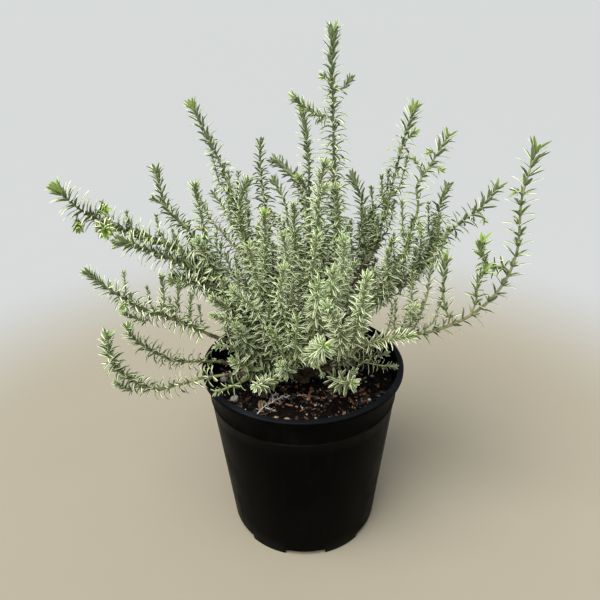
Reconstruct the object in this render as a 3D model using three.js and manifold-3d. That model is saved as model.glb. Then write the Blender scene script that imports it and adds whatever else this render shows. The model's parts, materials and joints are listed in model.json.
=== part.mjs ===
// Potted coastal rosemary: a young evergreen shrub in a round black nursery pot.
// Millimetres, +Z up. The origin is on the pot's axis, at the level that its feet stand on, and -Y is the front.
//
// The pot is one thin moulded shell with a rolled lip, a raised floor and six drain notches at its foot.
// It is filled with potting mix. The shrub's woody crown stands in a plain hole in the mix and divides into
// limbs, and each leafy spray grows from a limb. The leaves stand in whorls on thin square stems.

import * as THREE from 'three';
import Module from 'manifold-3d';
import { mergeVertices } from 'three/addons/utils/BufferGeometryUtils.js';

const wasm = await Module();
wasm.setup();

// Driving dimensions of the pot
const POT_HEIGHT = 190;
const LIP_RADIUS = 100;
const LIP_DEPTH = 5.4;
const WALL_TOP_RADIUS = 95.7;
const BASE_RADIUS = 76.7;
const WALL = 2.2;
const RIDGE_BELOW_LIP = 30.8;
const RIDGE_HEIGHT = 0.7;
const FLOOR_HEIGHT = 6.5;
const FLOOR_THICKNESS = 2.2;
const POT_SIDES = 36;
const NOTCHES = 6;
const NOTCH_WIDTH = 41;
const NOTCH_HEIGHT = 6;
const DRAIN_RADIUS = 5;
const DRAIN_AT = 58;

// Driving dimensions of the potting mix
const MIX_TOP = 165;
const MIX_SIDES = 24;
const MIX_LUMP = 1.8;
const CLEAR = 0.3;

// Driving dimensions of the shrub
const TRUNK_RADIUS = 8;
const TRUNK_FOOT = 148;
const TRUNK_TOP = 177;
const LIMB_RADII = [3.9, 2];
const STEM_RADII = [1.5, 0.9];
const SIDE_RADII = [1.05, 0.8];
const WHORL_STEP = 15.6;
const TIP_STEP = 5;
const BARE_LENGTH = 9;
const LEAF_LENGTH = 16.5;
const LEAF_WIDTH = 3.4;
const TIP_LEAF_LENGTH = 9;
const LEAF_ROOT = 2;
const LEAVES_PER_WHORL = 2;
const LEAF_CLEARANCE = 3.4;
const STEM_CLEARANCE = 3.3;

// Colours
const BLACK_PLASTIC = '#17181a';
const DARK_MIX = '#2b2320';
const BARK = '#6f5b45';
const GREY_GREEN = '#9aa77f';

// The crown's limbs: the centre line of each, from the trunk outwards.
const LIMBS = {
  left_high: [[-3, 1, 173], [-42, 6, 224], [-84, 12, 280]],
  left_middle: [[-3, -2, 173], [-42, -15, 207], [-86, -27, 236]],
  left_rim: [[-4, -1, 172], [-42, -8, 184], [-80, -13, 197]],
  left_front: [[-3, -3, 173], [-36, -22, 190], [-74, -39, 199]],
  front_left: [[-2, -5, 173], [-10, -28, 192], [-14, -42, 214]],
  front: [[1, -5, 175], [7, -30, 206], [9, -42, 238]],
  front_right: [[3, -4, 174], [27, -30, 199], [44, -50, 228]],
  right_low: [[4, 0, 173], [46, -8, 199], [94, -14, 223]],
  right_middle: [[4, 2, 175], [50, 11, 222], [100, 22, 268]],
  right_up: [[3, 2, 175], [34, 14, 232], [64, 24, 286]],
  centre_up: [[1, 1, 177], [13, 5, 236], [28, 8, 298]],
  left_up: [[-2, 2, 176], [-22, 12, 232], [-46, 24, 290]],
  back_left: [[-2, 4, 176], [-22, 36, 222], [-48, 62, 262]],
  back_up: [[1, 4, 176], [4, 36, 236], [7, 60, 292]],
  back_right: [[2, 4, 176], [30, 34, 217], [62, 58, 252]],
};

// The leafy sprays. Each starts on its limb at a share of the limb's length and passes through its points
// to its tip. A side shoot starts at a share of the spray's own stem.
const SPRAYS = [
  { name: 'tallest', limb: 'centre_up', share: 1,
    stem: [[32, 9, 318], [30, 12, 346], [29, 16, 403], [28, 18, 440], [27, 20, 465], [28, 22, 489]],
    sides: [[0.63, [17, 10, 424], [5, 2, 433], [-4, -3, 441]], [0.78, [20, 12, 455]],
      [0.74, [37, 23, 444], [43, 27, 451]]] },
  { name: 'left_high', limb: 'left_high', share: 1,
    stem: [[-119, 8, 309], [-161, 5, 329], [-192, 3, 346], [-210, 2, 366]],
    sides: [[0.75, [-172, -3, 350]], [0.84, [-194, -12, 338]], [0.66, [-167, -22, 337]]] },
  { name: 'right_long', limb: 'right_low', share: 1,
    stem: [[130, -14, 231], [162, -12, 247], [186, -6, 272], [197, 0, 304], [196, 6, 346], [198, 8, 366],
      [205, 14, 394]],
    sides: [[0.52, [168, -12, 295], [158, -18, 312], [157, -20, 322]], [0.29, [159, -18, 280], [162, -24, 296]],
      [0.19, [134, -12, 252], [130, -8, 277], [132, -4, 299]], [0.82, [188, 3, 359]]] },
  { name: 'left_middle', limb: 'left_middle', share: 1,
    stem: [[-108, -34, 254], [-141, -42, 273], [-167, -50, 299], [-178, -52, 312]],
    sides: [[0.42, [-138, -47, 262], [-152, -56, 275]], [0.38, [-121, -38, 277], [-121, -36, 300]],
      [0.26, [-111, -34, 268], [-108, -32, 289]], [0.15, [-98, -30, 279]], [0.6, [-150, -62, 284]]] },
  { name: 'left_low', limb: 'left_front', share: 1,
    stem: [[-94, -48, 202], [-119, -56, 199], [-140, -64, 204], [-161, -72, 231], [-163, -76, 256], [-162, -76, 265]],
    sides: [[0.53, [-152, -72, 207], [-161, -80, 220]]] },
  { name: 'left_rim', limb: 'left_rim', share: 1,
    stem: [[-99, -16, 200], [-119, -20, 203], [-140, -26, 217], [-156, -32, 238], [-158, -34, 248]],
    sides: [] },
  { name: 'left_front_high', limb: 'left_high', share: 0.9,
    stem: [[-93, -12, 293], [-132, -16, 316], [-155, -20, 326]],
    sides: [] },
  { name: 'left_upright', limb: 'left_high', share: 0.95,
    stem: [[-92, 22, 291], [-106, 36, 312], [-129, 50, 333], [-138, 63, 366]],
    sides: [[0.7, [-142, 50, 343]]] },
  { name: 'left_inner_upright', limb: 'left_high', share: 0.7,
    stem: [[-72, 2, 274], [-83, -4, 299], [-85, -10, 332], [-88, -17, 374]],
    sides: [[0.3, [-89, -25, 328]]] },
  { name: 'left_inner', limb: 'left_high', share: 0.5,
    stem: [[-62, -10, 260], [-86, -14, 281], [-111, -22, 291]],
    sides: [] },
  { name: 'left_front_pair', limb: 'left_middle', share: 0.5,
    stem: [[-54, -20, 240], [-62, -26, 258], [-78, -36, 277]],
    sides: [[0.5, [-66, -40, 258], [-77, -51, 269]]] },
  { name: 'left_front_rim', limb: 'left_front', share: 0.55,
    stem: [[-60, -52, 198], [-78, -71, 203]],
    sides: [] },
  { name: 'left_front_short', limb: 'left_front', share: 0.4,
    stem: [[-47, -38, 204], [-62, -55, 226]],
    sides: [] },
  { name: 'front_left_low', limb: 'left_front', share: 0.25,
    stem: [[-33, -44, 194], [-43, -68, 205]],
    sides: [] },
  { name: 'front_left_pale', limb: 'front_left', share: 0.6,
    stem: [[-15, -52, 212], [-19, -66, 227]],
    sides: [] },
  { name: 'front_left_curved', limb: 'front_left', share: 1,
    stem: [[-23, -56, 247], [-28, -64, 263]],
    sides: [] },
  { name: 'front_left_upright', limb: 'front_left', share: 0.88,
    stem: [[-5, -54, 230], [-6, -60, 250], [-4, -64, 274]],
    sides: [] },
  { name: 'front_left_leaning', limb: 'front_left', share: 0.45,
    stem: [[-28, -34, 232], [-40, -42, 268], [-58, -58, 295]],
    sides: [] },
  { name: 'front_left_inner', limb: 'front_left', share: 0.74,
    stem: [[-12, -38, 244], [-19, -44, 278], [-15, -56, 315]],
    sides: [] },
  { name: 'front_reaching', limb: 'front', share: 0.7,
    stem: [[9, -66, 236], [13, -100, 262], [16, -128, 285]],
    sides: [[0.25, [17, -82, 226]]] },
  { name: 'front_middle', limb: 'front', share: 1,
    stem: [[12, -56, 272], [13, -82, 315]],
    sides: [] },
  { name: 'front_middle_right', limb: 'front', share: 0.88,
    stem: [[21, -46, 262], [25, -54, 288], [25, -72, 320]],
    sides: [] },
  { name: 'front_middle_back', limb: 'front', share: 0.8,
    stem: [[8, -24, 264], [9, -26, 295], [13, -36, 334]],
    sides: [] },
  { name: 'front_right_tall', limb: 'front_right', share: 0.85,
    stem: [[44, -62, 252], [48, -74, 284], [51, -83, 318]],
    sides: [[0.6, [60, -80, 292]]] },
  { name: 'front_right_leaning', limb: 'front_right', share: 0.68,
    stem: [[33, -57, 240], [31, -73, 266], [19, -89, 297]],
    sides: [] },
  { name: 'front_right_low', limb: 'front_right', share: 0.42,
    stem: [[34, -58, 202], [43, -80, 218]],
    sides: [[0.45, [46, -62, 218]]] },
  { name: 'front_right_rim', limb: 'front_right', share: 1,
    stem: [[58, -62, 246], [77, -75, 259], [89, -84, 265]],
    sides: [] },
  { name: 'right_low_upright', limb: 'right_low', share: 0.88,
    stem: [[104, -12, 237], [116, -8, 260], [120, 2, 287]],
    sides: [[0.3, [98, -28, 257], [101, -38, 268]]] },
  { name: 'right_inner', limb: 'right_middle', share: 1,
    stem: [[121, 30, 285], [131, 40, 314], [134, 48, 331], [142, 57, 348]],
    sides: [] },
  { name: 'right_high', limb: 'right_middle', share: 0.86,
    stem: [[116, 13, 286], [130, 18, 306], [150, 26, 323], [168, 32, 334], [185, 40, 353]],
    sides: [[0.78, [171, 22, 325]]] },
  { name: 'upper_right_forked', limb: 'right_middle', share: 0.66,
    stem: [[84, 3, 280], [95, 2, 306], [105, 9, 342], [103, 12, 361], [110, 14, 374], [121, 18, 391], [129, 21, 405]],
    sides: [[0.77, [99, 19, 386]], [0.88, [111, 10, 393]], [0.82, [122, 6, 378]], [0.58, [104, -13, 329]]] },
  { name: 'upper_right', limb: 'right_up', share: 1,
    stem: [[74, 30, 304], [80, 38, 336], [88, 46, 360], [96, 54, 393], [104, 60, 420]],
    sides: [[0.76, [105, 49, 402]]] },
  { name: 'centre_right', limb: 'right_up', share: 0.82,
    stem: [[61, 42, 302], [61, 57, 327], [58, 67, 341], [52, 77, 352]],
    sides: [[0.4, [68, 42, 330]]] },
  { name: 'centre_tall', limb: 'centre_up', share: 0.68,
    stem: [[10, 22, 290], [8, 34, 330], [8, 48, 375], [3, 60, 420]],
    sides: [[0.55, [-2, 34, 366]]] },
  { name: 'centre_front', limb: 'centre_up', share: 0.84,
    stem: [[16, -8, 320], [15, -14, 352], [17, -20, 380], [20, -24, 393]],
    sides: [[0.7, [21, -30, 376]]] },
  { name: 'centre_bright', limb: 'centre_up', share: 0.93,
    stem: [[33, -6, 318], [32, -13, 344], [29, -25, 373]],
    sides: [] },
  { name: 'centre_left_front', limb: 'centre_up', share: 0.5,
    stem: [[1, 4, 270], [-5, 2, 300], [-6, -2, 350]],
    sides: [] },
  { name: 'inner_right', limb: 'centre_up', share: 0.36,
    stem: [[25, -24, 270], [34, -44, 303], [34, -60, 340]],
    sides: [[0.55, [46, -40, 312]]] },
  { name: 'upper_left', limb: 'left_up', share: 1,
    stem: [[-58, 38, 319], [-67, 48, 351], [-77, 56, 379], [-91, 65, 407], [-99, 71, 424]],
    sides: [] },
  { name: 'upper_left_inner', limb: 'left_up', share: 0.9,
    stem: [[-49, 12, 304], [-55, 14, 335], [-54, 18, 352], [-48, 20, 366]],
    sides: [] },
  { name: 'centre_left', limb: 'left_up', share: 0.8,
    stem: [[-31, 38, 308], [-35, 56, 337], [-39, 76, 362], [-39, 90, 386]],
    sides: [] },
  { name: 'centre_left_small', limb: 'left_up', share: 0.62,
    stem: [[-14, 26, 288], [-13, 36, 331], [-20, 46, 351], [-25, 51, 358]],
    sides: [] },
  { name: 'inner_left_bright', limb: 'left_up', share: 0.71,
    stem: [[-34, -2, 280], [-32, -8, 304], [-31, -18, 350]],
    sides: [[0.5, [-44, -8, 318]]] },
  { name: 'inner_left', limb: 'left_up', share: 0.53,
    stem: [[-32, -16, 262], [-38, -28, 288], [-44, -43, 329]],
    sides: [] },
  { name: 'inner_middle', limb: 'left_up', share: 0.35,
    stem: [[-11, -15, 254], [-10, -26, 292], [-15, -43, 339]],
    sides: [] },
  { name: 'back_left_upright', limb: 'back_left', share: 1,
    stem: [[-58, 66, 288], [-73, 80, 311], [-89, 95, 333]],
    sides: [] },
  { name: 'back_left_high', limb: 'back_left', share: 0.85,
    stem: [[-60, 80, 266], [-81, 100, 283], [-101, 117, 302], [-106, 123, 314]],
    sides: [] },
  { name: 'back_left_inner', limb: 'back_left', share: 0.68,
    stem: [[-58, 52, 246], [-72, 62, 258], [-79, 78, 271]],
    sides: [] },
  { name: 'back_left_low', limb: 'back_left', share: 0.45,
    stem: [[-56, 66, 232], [-88, 90, 250]],
    sides: [[0.35, [-46, 90, 226], [-56, 112, 236]]] },
  { name: 'back_leaning', limb: 'back_up', share: 1,
    stem: [[4, 76, 322], [-2, 90, 344], [-13, 106, 353], [-25, 119, 360]],
    sides: [] },
  { name: 'back_middle_left', limb: 'back_up', share: 0.84,
    stem: [[-10, 84, 290], [-35, 124, 301]],
    sides: [] },
  { name: 'back_middle', limb: 'back_up', share: 0.68,
    stem: [[12, 86, 272], [20, 127, 288]],
    sides: [] },
  { name: 'back_middle_low', limb: 'back_up', share: 0.42,
    stem: [[6, 76, 230], [2, 118, 240]],
    sides: [] },
  { name: 'back_right_high', limb: 'back_right', share: 1,
    stem: [[72, 88, 270], [78, 116, 287]],
    sides: [[0.4, [84, 92, 292]]] },
  { name: 'back_right', limb: 'back_right', share: 0.8,
    stem: [[88, 70, 256], [114, 92, 266]],
    sides: [] },
  { name: 'back_right_low', limb: 'back_right', share: 0.45,
    stem: [[72, 54, 222], [104, 68, 228]],
    sides: [[0.3, [54, 78, 228], [68, 106, 238]]] },
];

// A repeatable number from 0 to 1 for each whole number.
function draw(n) {
  const x = Math.sin(n * 12.9898 + 4.137) * 43758.5453;
  return x - Math.floor(x);
}

const vec = (p) => new THREE.Vector3(...p);
const smoothCurve = (points) => new THREE.CatmullRomCurve3(points, false, 'catmullrom', 0.5);

// A closed mesh as a solid for cutting and joining.
function solidOf(geometry) {
  const bare = geometry.clone();
  bare.deleteAttribute('normal');
  bare.deleteAttribute('uv');
  const merged = mergeVertices(bare, 1e-4);
  const mesh = new wasm.Mesh({
    numProp: 3,
    vertProperties: new Float32Array(merged.getAttribute('position').array),
    triVerts: new Uint32Array(merged.getIndex().array),
  });
  return new wasm.Manifold(mesh);
}

function geometryOf(solid) {
  const mesh = solid.getMesh();
  const geometry = new THREE.BufferGeometry();
  geometry.setAttribute('position', new THREE.Float32BufferAttribute(mesh.vertProperties, 3));
  geometry.setIndex([...mesh.triVerts]);
  geometry.computeVertexNormals();
  return geometry;
}

// The biggest body of a solid, without the scraps that a cut leaves.
function mainBody(solid) {
  const bodies = solid.decompose();
  return bodies.reduce((best, body) => (body.volume() > best.volume() ? body : best));
}

function meshOf(name, solid, color, roughness) {
  const material = new THREE.MeshStandardMaterial({ color, roughness, metalness: 0 });
  const mesh = new THREE.Mesh(geometryOf(solid), material);
  mesh.name = name;
  return mesh;
}

// The pot

function outerRadius(z) {
  return BASE_RADIUS + ((WALL_TOP_RADIUS - BASE_RADIUS) * z) / (POT_HEIGHT - LIP_DEPTH);
}

const innerRadius = (z) => outerRadius(z) - WALL;

// A profile of [radius, height] points turned about the upright axis.
function turned(profile, sides) {
  const points = profile.map(([r, z]) => new THREE.Vector2(r, z));
  const geometry = new THREE.LatheGeometry(points, sides);
  return geometry.rotateX(Math.PI / 2);
}

function potProfile() {
  const ridge = POT_HEIGHT - RIDGE_BELOW_LIP;
  const lipFoot = POT_HEIGHT - LIP_DEPTH;
  const floorTop = FLOOR_HEIGHT + FLOOR_THICKNESS;
  return [
    [0, FLOOR_HEIGHT],
    [innerRadius(FLOOR_HEIGHT) - 0.3, FLOOR_HEIGHT],
    [innerRadius(0), 0],
    [BASE_RADIUS, 0],
    [outerRadius(ridge - 1), ridge - 1],
    [outerRadius(ridge) + RIDGE_HEIGHT, ridge],
    [outerRadius(ridge + 1), ridge + 1],
    [WALL_TOP_RADIUS, lipFoot],
    [LIP_RADIUS - 0.8, lipFoot],
    [LIP_RADIUS, lipFoot + 1],
    [LIP_RADIUS, POT_HEIGHT - 1.2],
    [LIP_RADIUS - 1.2, POT_HEIGHT],
    [innerRadius(POT_HEIGHT) + 0.8, POT_HEIGHT],
    [innerRadius(POT_HEIGHT - 1), POT_HEIGHT - 1],
    [innerRadius(floorTop + 2), floorTop + 2],
    [innerRadius(floorTop) - 2, floorTop],
    [0, floorTop],
  ];
}

function drainNotch(turn) {
  const box = new THREE.BoxGeometry(NOTCH_WIDTH, 20, 2 * NOTCH_HEIGHT);
  return box.translate(0, -BASE_RADIUS, 0).rotateZ(turn);
}

function drainHole(turn) {
  const hole = new THREE.CylinderGeometry(DRAIN_RADIUS, DRAIN_RADIUS, 3 * FLOOR_THICKNESS, 8);
  hole.rotateX(Math.PI / 2).translate(0, -DRAIN_AT, FLOOR_HEIGHT + FLOOR_THICKNESS / 2);
  return hole.rotateZ(turn);
}

function makePot() {
  let pot = solidOf(turned(potProfile(), POT_SIDES));
  for (let i = 0; i < NOTCHES; i += 1) {
    const turn = (i * 2 * Math.PI) / NOTCHES;
    pot = pot.subtract(solidOf(drainNotch(turn)));
    pot = pot.subtract(solidOf(drainHole(turn)));
  }
  return meshOf('pot', pot, BLACK_PLASTIC, 0.42);
}

// The potting mix

function mixHeight(x, y) {
  const wide = Math.sin(x * 0.09 + 1.3) * Math.cos(y * 0.11 - 0.4);
  const small = Math.sin(x * 0.31 + y * 0.23) * Math.cos(y * 0.37 - x * 0.19);
  return MIX_TOP + MIX_LUMP * (0.7 * wide + 0.8 * small);
}

function mixProfile() {
  const shrink = Math.cos(Math.PI / POT_SIDES);
  const foot = FLOOR_HEIGHT + FLOOR_THICKNESS + CLEAR;
  const edge = innerRadius(MIX_TOP) * shrink - CLEAR;
  const hole = TRUNK_RADIUS + CLEAR;
  return [
    [0, foot],
    [innerRadius(foot) * shrink - 2 - CLEAR, foot],
    [innerRadius(foot + 3) * shrink - CLEAR, foot + 3],
    [edge, MIX_TOP],
    [edge * 0.88, MIX_TOP],
    [edge * 0.74, MIX_TOP],
    [edge * 0.59, MIX_TOP],
    [edge * 0.44, MIX_TOP],
    [edge * 0.28, MIX_TOP],
    [hole, MIX_TOP],
    [hole, TRUNK_FOOT - CLEAR],
    [0, TRUNK_FOOT - CLEAR],
  ];
}

function makeMix() {
  const geometry = turned(mixProfile(), MIX_SIDES);
  const position = geometry.getAttribute('position');
  for (let i = 0; i < position.count; i += 1) {
    if (Math.abs(position.getZ(i) - MIX_TOP) < 0.01) {
      position.setZ(i, mixHeight(position.getX(i), position.getY(i)));
    }
  }
  return meshOf('potting_mix', solidOf(geometry), DARK_MIX, 0.95);
}

// The woody crown

// Frames along a curve at the given distances, turned as little as possible from each to the next.
function framesAlong(curve, distances, turn) {
  const length = curve.getLength();
  const start = curve.getTangentAt(0);
  const side = new THREE.Vector3(0.31, -0.87, 0.39).cross(start).normalize();
  side.applyAxisAngle(start, turn);
  return distances.map((s) => {
    const u = Math.min(s / length, 1);
    const along = curve.getTangentAt(u);
    side.addScaledVector(along, -side.dot(along)).normalize();
    const across = new THREE.Vector3().crossVectors(along, side);
    return { point: curve.getPointAt(u), along, side: side.clone(), across };
  });
}

function ringPoint(frame, radius, angle) {
  return frame.point.clone()
    .addScaledVector(frame.side, radius * Math.cos(angle))
    .addScaledVector(frame.across, radius * Math.sin(angle));
}

// A tapered limb with flat ends.
function limbSolid(points, radii, sides, steps) {
  const curve = smoothCurve(points.map(vec));
  const length = curve.getLength();
  const distances = Array.from({ length: steps + 1 }, (_, i) => (i * length) / steps);
  const frames = framesAlong(curve, distances, 0);
  const corners = [];
  frames.forEach((frame, i) => {
    const radius = radii[0] + ((radii[1] - radii[0]) * i) / steps;
    for (let j = 0; j < sides; j += 1) {
      corners.push(ringPoint(frame, radius, (j * 2 * Math.PI) / sides));
    }
  });
  const index = [];
  for (let i = 0; i < steps; i += 1) {
    for (let j = 0; j < sides; j += 1) {
      const a = i * sides + j;
      const b = i * sides + ((j + 1) % sides);
      index.push(a, b, b + sides, a, b + sides, a + sides);
    }
  }
  const last = steps * sides;
  for (let j = 1; j < sides - 1; j += 1) {
    index.push(0, j + 1, j, last, last + j, last + j + 1);
  }
  return solidOf(indexedGeometry(corners, index));
}

function indexedGeometry(corners, index) {
  const geometry = new THREE.BufferGeometry();
  const numbers = corners.flatMap((p) => [p.x, p.y, p.z]);
  geometry.setAttribute('position', new THREE.Float32BufferAttribute(numbers, 3));
  geometry.setIndex(index);
  return geometry;
}

// The trunk with its limbs, all thicker by grow.
function crownSolid(grow) {
  const trunkPoints = [[0, 0, TRUNK_FOOT], [0, 0, (TRUNK_FOOT + TRUNK_TOP) / 2], [0, 0, TRUNK_TOP]];
  let crown = limbSolid(trunkPoints, [TRUNK_RADIUS + grow, TRUNK_RADIUS - 2 + grow], 7, 2);
  for (const points of Object.values(LIMBS)) {
    const radii = LIMB_RADII.map((radius) => radius + grow);
    crown = crown.add(limbSolid(points, radii, 5, 2));
  }
  return crown;
}

// The leafy stems

function stemCurves(spray) {
  const limb = smoothCurve(LIMBS[spray.limb].map(vec));
  const main = smoothCurve([limb.getPointAt(spray.share), ...spray.stem.map(vec)]);
  const sides = spray.sides.map(([share, ...points]) => {
    const start = main.getPointAt(share);
    const bend = start.clone().lerp(vec(points[0]), 0.4).addScaledVector(main.getTangentAt(share), 3);
    return smoothCurve([start, bend, ...points.map(vec)]);
  });
  return [main, ...sides];
}

// The places of a stem's whorls: close together at the tip, even below it.
function whorlDistances(length, bare) {
  const distances = [length - TIP_STEP];
  let next = length - TIP_STEP - 0.7 * WHORL_STEP;
  while (next > bare) {
    distances.unshift(next);
    next -= WHORL_STEP;
  }
  return distances;
}

function makeStem(curve, radii, turn, bare) {
  const length = curve.getLength();
  const distances = [0, ...whorlDistances(length, bare), length];
  const frames = framesAlong(curve, distances, turn);
  const radius = distances.map((s) => radii[0] + ((radii[1] - radii[0]) * s) / length);
  return { curve, length, distances, frames, radius, leaves: [] };
}

// A leaf's root edge, its own axes and its size, for edge j of the stem's ring i.
function leafAt(stem, i, j, seed) {
  const frame = stem.frames[i];
  const angle = (Math.PI / 4) * (i + 1) + (Math.PI / 2) * j;
  const out = new THREE.Vector3()
    .addScaledVector(frame.side, Math.cos(angle))
    .addScaledVector(frame.across, Math.sin(angle));
  const fromTip = stem.length - stem.distances[i];
  const young = Math.max(0, 1 - fromTip / 30);
  const lean = THREE.MathUtils.degToRad(58 - 30 * young + 8 * (draw(seed) - 0.5));
  const size = THREE.MathUtils.lerp(LEAF_LENGTH, TIP_LEAF_LENGTH, young) * (0.92 + 0.16 * draw(seed + 0.5));
  const axis = frame.along.clone().multiplyScalar(Math.cos(lean)).addScaledVector(out, Math.sin(lean));
  const up = frame.along.clone().multiplyScalar(Math.sin(lean)).addScaledVector(out, -Math.cos(lean));
  const across = new THREE.Vector3().crossVectors(frame.along, out);
  const root = frame.point.clone().addScaledVector(out, stem.radius[i] * Math.SQRT1_2);
  const tip = root.clone().addScaledVector(axis, size).addScaledVector(up, -0.06 * size);
  const width = LEAF_WIDTH * (size / LEAF_LENGTH) ** 0.6;
  return { ring: i, edge: j, root, tip, axis, up, across, size, width, out };
}

// Shortest distance between two straight pieces, each [start, end].
function pieceDistance([p, q], [r, s]) {
  const d1 = q.clone().sub(p);
  const d2 = s.clone().sub(r);
  const gap = p.clone().sub(r);
  const a = d1.dot(d1);
  const e = d2.dot(d2);
  const b = d1.dot(d2);
  const c = d1.dot(gap);
  const f = d2.dot(gap);
  const clamp = (x) => Math.min(1, Math.max(0, x));
  const spread = a * e - b * b;
  let t1 = spread > 1e-9 ? clamp((b * f - c * e) / spread) : 0;
  const t2 = clamp((b * t1 + f) / e);
  t1 = clamp((b * t2 - c) / a);
  return p.clone().addScaledVector(d1, t1).distanceTo(r.clone().addScaledVector(d2, t2));
}

// True where a point is clear of the pot's wall and lip and of the mix.
function clearOfPot(point) {
  const reach = Math.hypot(point.x, point.y);
  if (point.z > POT_HEIGHT + 2) {
    return true;
  }
  const outside = reach > LIP_RADIUS + 2;
  const inside = reach < innerRadius(MIX_TOP) - 3 && point.z > MIX_TOP + 2 * MIX_LUMP + 1;
  return outside || inside;
}

function leafLine(leaf) {
  return [leaf.root.clone().lerp(leaf.tip, 0.12), leaf.tip];
}

// True where a leaf is clear of the pot, of every other stem and of the leaves that are already there.
function leafFits(line, own, pieces) {
  for (let k = 0; k <= 4; k += 1) {
    if (!clearOfPot(line[0].clone().lerp(line[1], k / 4))) {
      return false;
    }
  }
  const middle = line[0].clone().lerp(line[1], 0.5);
  return pieces.every((piece) => {
    if (piece.own === own || middle.distanceTo(piece.middle) > piece.reach + LEAF_LENGTH) {
      return true;
    }
    return pieceDistance(line, piece.line) > piece.clearance;
  });
}

function pieceOf(line, own, clearance) {
  const middle = line[0].clone().lerp(line[1], 0.5);
  return { line, own, clearance, middle, reach: line[0].distanceTo(line[1]) / 2 };
}

function stemPieces(stem) {
  return stem.frames.slice(1).map((frame, i) => {
    const line = [stem.frames[i].point, frame.point];
    return pieceOf(line, stem, STEM_CLEARANCE);
  });
}

function limbPieces() {
  return Object.values(LIMBS).flatMap((points) => {
    const places = smoothCurve(points.map(vec)).getSpacedPoints(8);
    return places.slice(1).map((place, i) => pieceOf([places[i], place], null, STEM_CLEARANCE + LIMB_RADII[0] - 2));
  });
}

// Chooses the leaves of every stem, from the tips down, two to a whorl and four to the last one.
function placeLeaves(stems) {
  const pieces = [...stems.flatMap(stemPieces), ...limbPieces()];
  const places = stems.flatMap((stem, n) => stem.frames.slice(1, -1).map((_, k) => ({ stem, n, i: k + 1 })));
  const fromTip = ({ stem, i }) => stem.length - stem.distances[i];
  places.sort((a, b) => fromTip(a) - fromTip(b));
  for (const { stem, n, i } of places) {
    const isLast = i === stem.frames.length - 2;
    const wanted = isLast ? 4 : LEAVES_PER_WHORL;
    const first = Math.floor(4 * draw(n * 31 + i * 7));
    let placed = 0;
    for (const step of [0, 2, 1, 3]) {
      const edge = (first + step) % 4;
      const leaf = leafAt(stem, i, edge, n * 97 + i * 13 + edge);
      if (placed < wanted && leafFits(leafLine(leaf), stem, pieces)) {
        stem.leaves.push(leaf);
        pieces.push(pieceOf(leafLine(leaf), stem, LEAF_CLEARANCE));
        placed += 1;
      }
    }
  }
}

// The closed mesh of one stem: a square stem that turns an eighth at each whorl, with its leaves.
function stemGeometry(stem) {
  const corners = [];
  const rings = stem.frames.slice(0, -1).map((frame, i) => [0, 1, 2, 3].map((j) => {
    corners.push(ringPoint(frame, stem.radius[i], (Math.PI / 4) * i + (Math.PI / 2) * j));
    return corners.length - 1;
  }));
  corners.push(stem.frames.at(-1).point);
  const bud = corners.length - 1;
  const index = [rings[0][0], rings[0][2], rings[0][1], rings[0][0], rings[0][3], rings[0][2]];
  rings.forEach((ring, i) => {
    const next = rings[i + 1] ?? [bud, bud, bud, bud];
    for (let j = 0; j < 4; j += 1) {
      const a = ring[j];
      const b = ring[(j + 1) % 4];
      const leaf = stem.leaves.find((one) => one.ring === i && one.edge === j);
      if (leaf) {
        addLeaf(leaf, corners, index, a, b, next[j]);
      } else {
        index.push(a, b, next[j]);
      }
      if (next[j] !== bud) {
        index.push(b, next[(j + 1) % 4], next[j]);
      }
    }
  });
  return indexedGeometry(corners, index);
}

// A leaf that grows from the triangle a, b, top of its stem: narrow at the root, widest below its middle,
// arched on its upper side and pointed at the tip.
function addLeaf(leaf, corners, index, a, b, top) {
  const middle = corners[a].clone().lerp(corners[b], 0.5);
  const rise = corners[top].distanceTo(middle);
  const heel = middle.clone().lerp(corners[top], Math.min(LEAF_ROOT / rise, 0.4)).addScaledVector(leaf.out, 0.15);
  const belly = leaf.root.clone().addScaledVector(leaf.axis, 0.42 * leaf.size);
  const k = corners.length;
  corners.push(heel);
  corners.push(belly.clone().addScaledVector(leaf.across, -leaf.width / 2));
  corners.push(belly.clone().addScaledVector(leaf.across, leaf.width / 2));
  corners.push(leaf.tip);
  const [left, right, tip] = [k + 1, k + 2, k + 3];
  index.push(a, k, top, k, b, top);
  index.push(a, b, tip, b, k, right, k, a, left);
  index.push(tip, b, right, right, k, tip, a, tip, left, k, left, tip);
}

function makeSprays() {
  const sprays = SPRAYS.map((spray, n) => ({
    name: `spray_${spray.name}`,
    stems: stemCurves(spray).map((curve, k) => {
      const radii = k === 0 ? STEM_RADII : SIDE_RADII;
      return makeStem(curve, radii, 2 * Math.PI * draw(n * 5 + k), k === 0 ? BARE_LENGTH : BARE_LENGTH - 3);
    }),
  }));
  placeLeaves(sprays.flatMap((spray) => spray.stems));
  const room = crownSolid(CLEAR);
  return sprays.map((spray) => {
    const solids = spray.stems.map((stem) => solidOf(stemGeometry(stem)));
    const joined = solids.reduce((all, one) => all.add(one));
    return meshOf(spray.name, mainBody(joined.subtract(room)), GREY_GREEN, 0.6);
  });
}

const plant = new THREE.Group();
plant.name = 'potted_coastal_rosemary';
plant.add(makePot());
plant.add(makeMix());
plant.add(meshOf('crown', crownSolid(0), BARK, 0.85));
for (const spray of makeSprays()) {
  plant.add(spray);
}

export default plant;
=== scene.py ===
# %% [markdown]
# # A potted coastal rosemary
# A young evergreen shrub in a black nursery pot, seen a little from above. The pot, the potting mix and
# the shrub's woody base are solids of the packed model, and so is each leafy shoot. Here each of them gets
# a finer piece that stays where its solid is: every leaf of every shoot, the bark chips and the grit.

# %% Load the packed model as a fixed frame
import json
import math

import bmesh
import bpy
import numpy as np
from mathutils import Matrix, Vector, noise

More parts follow.
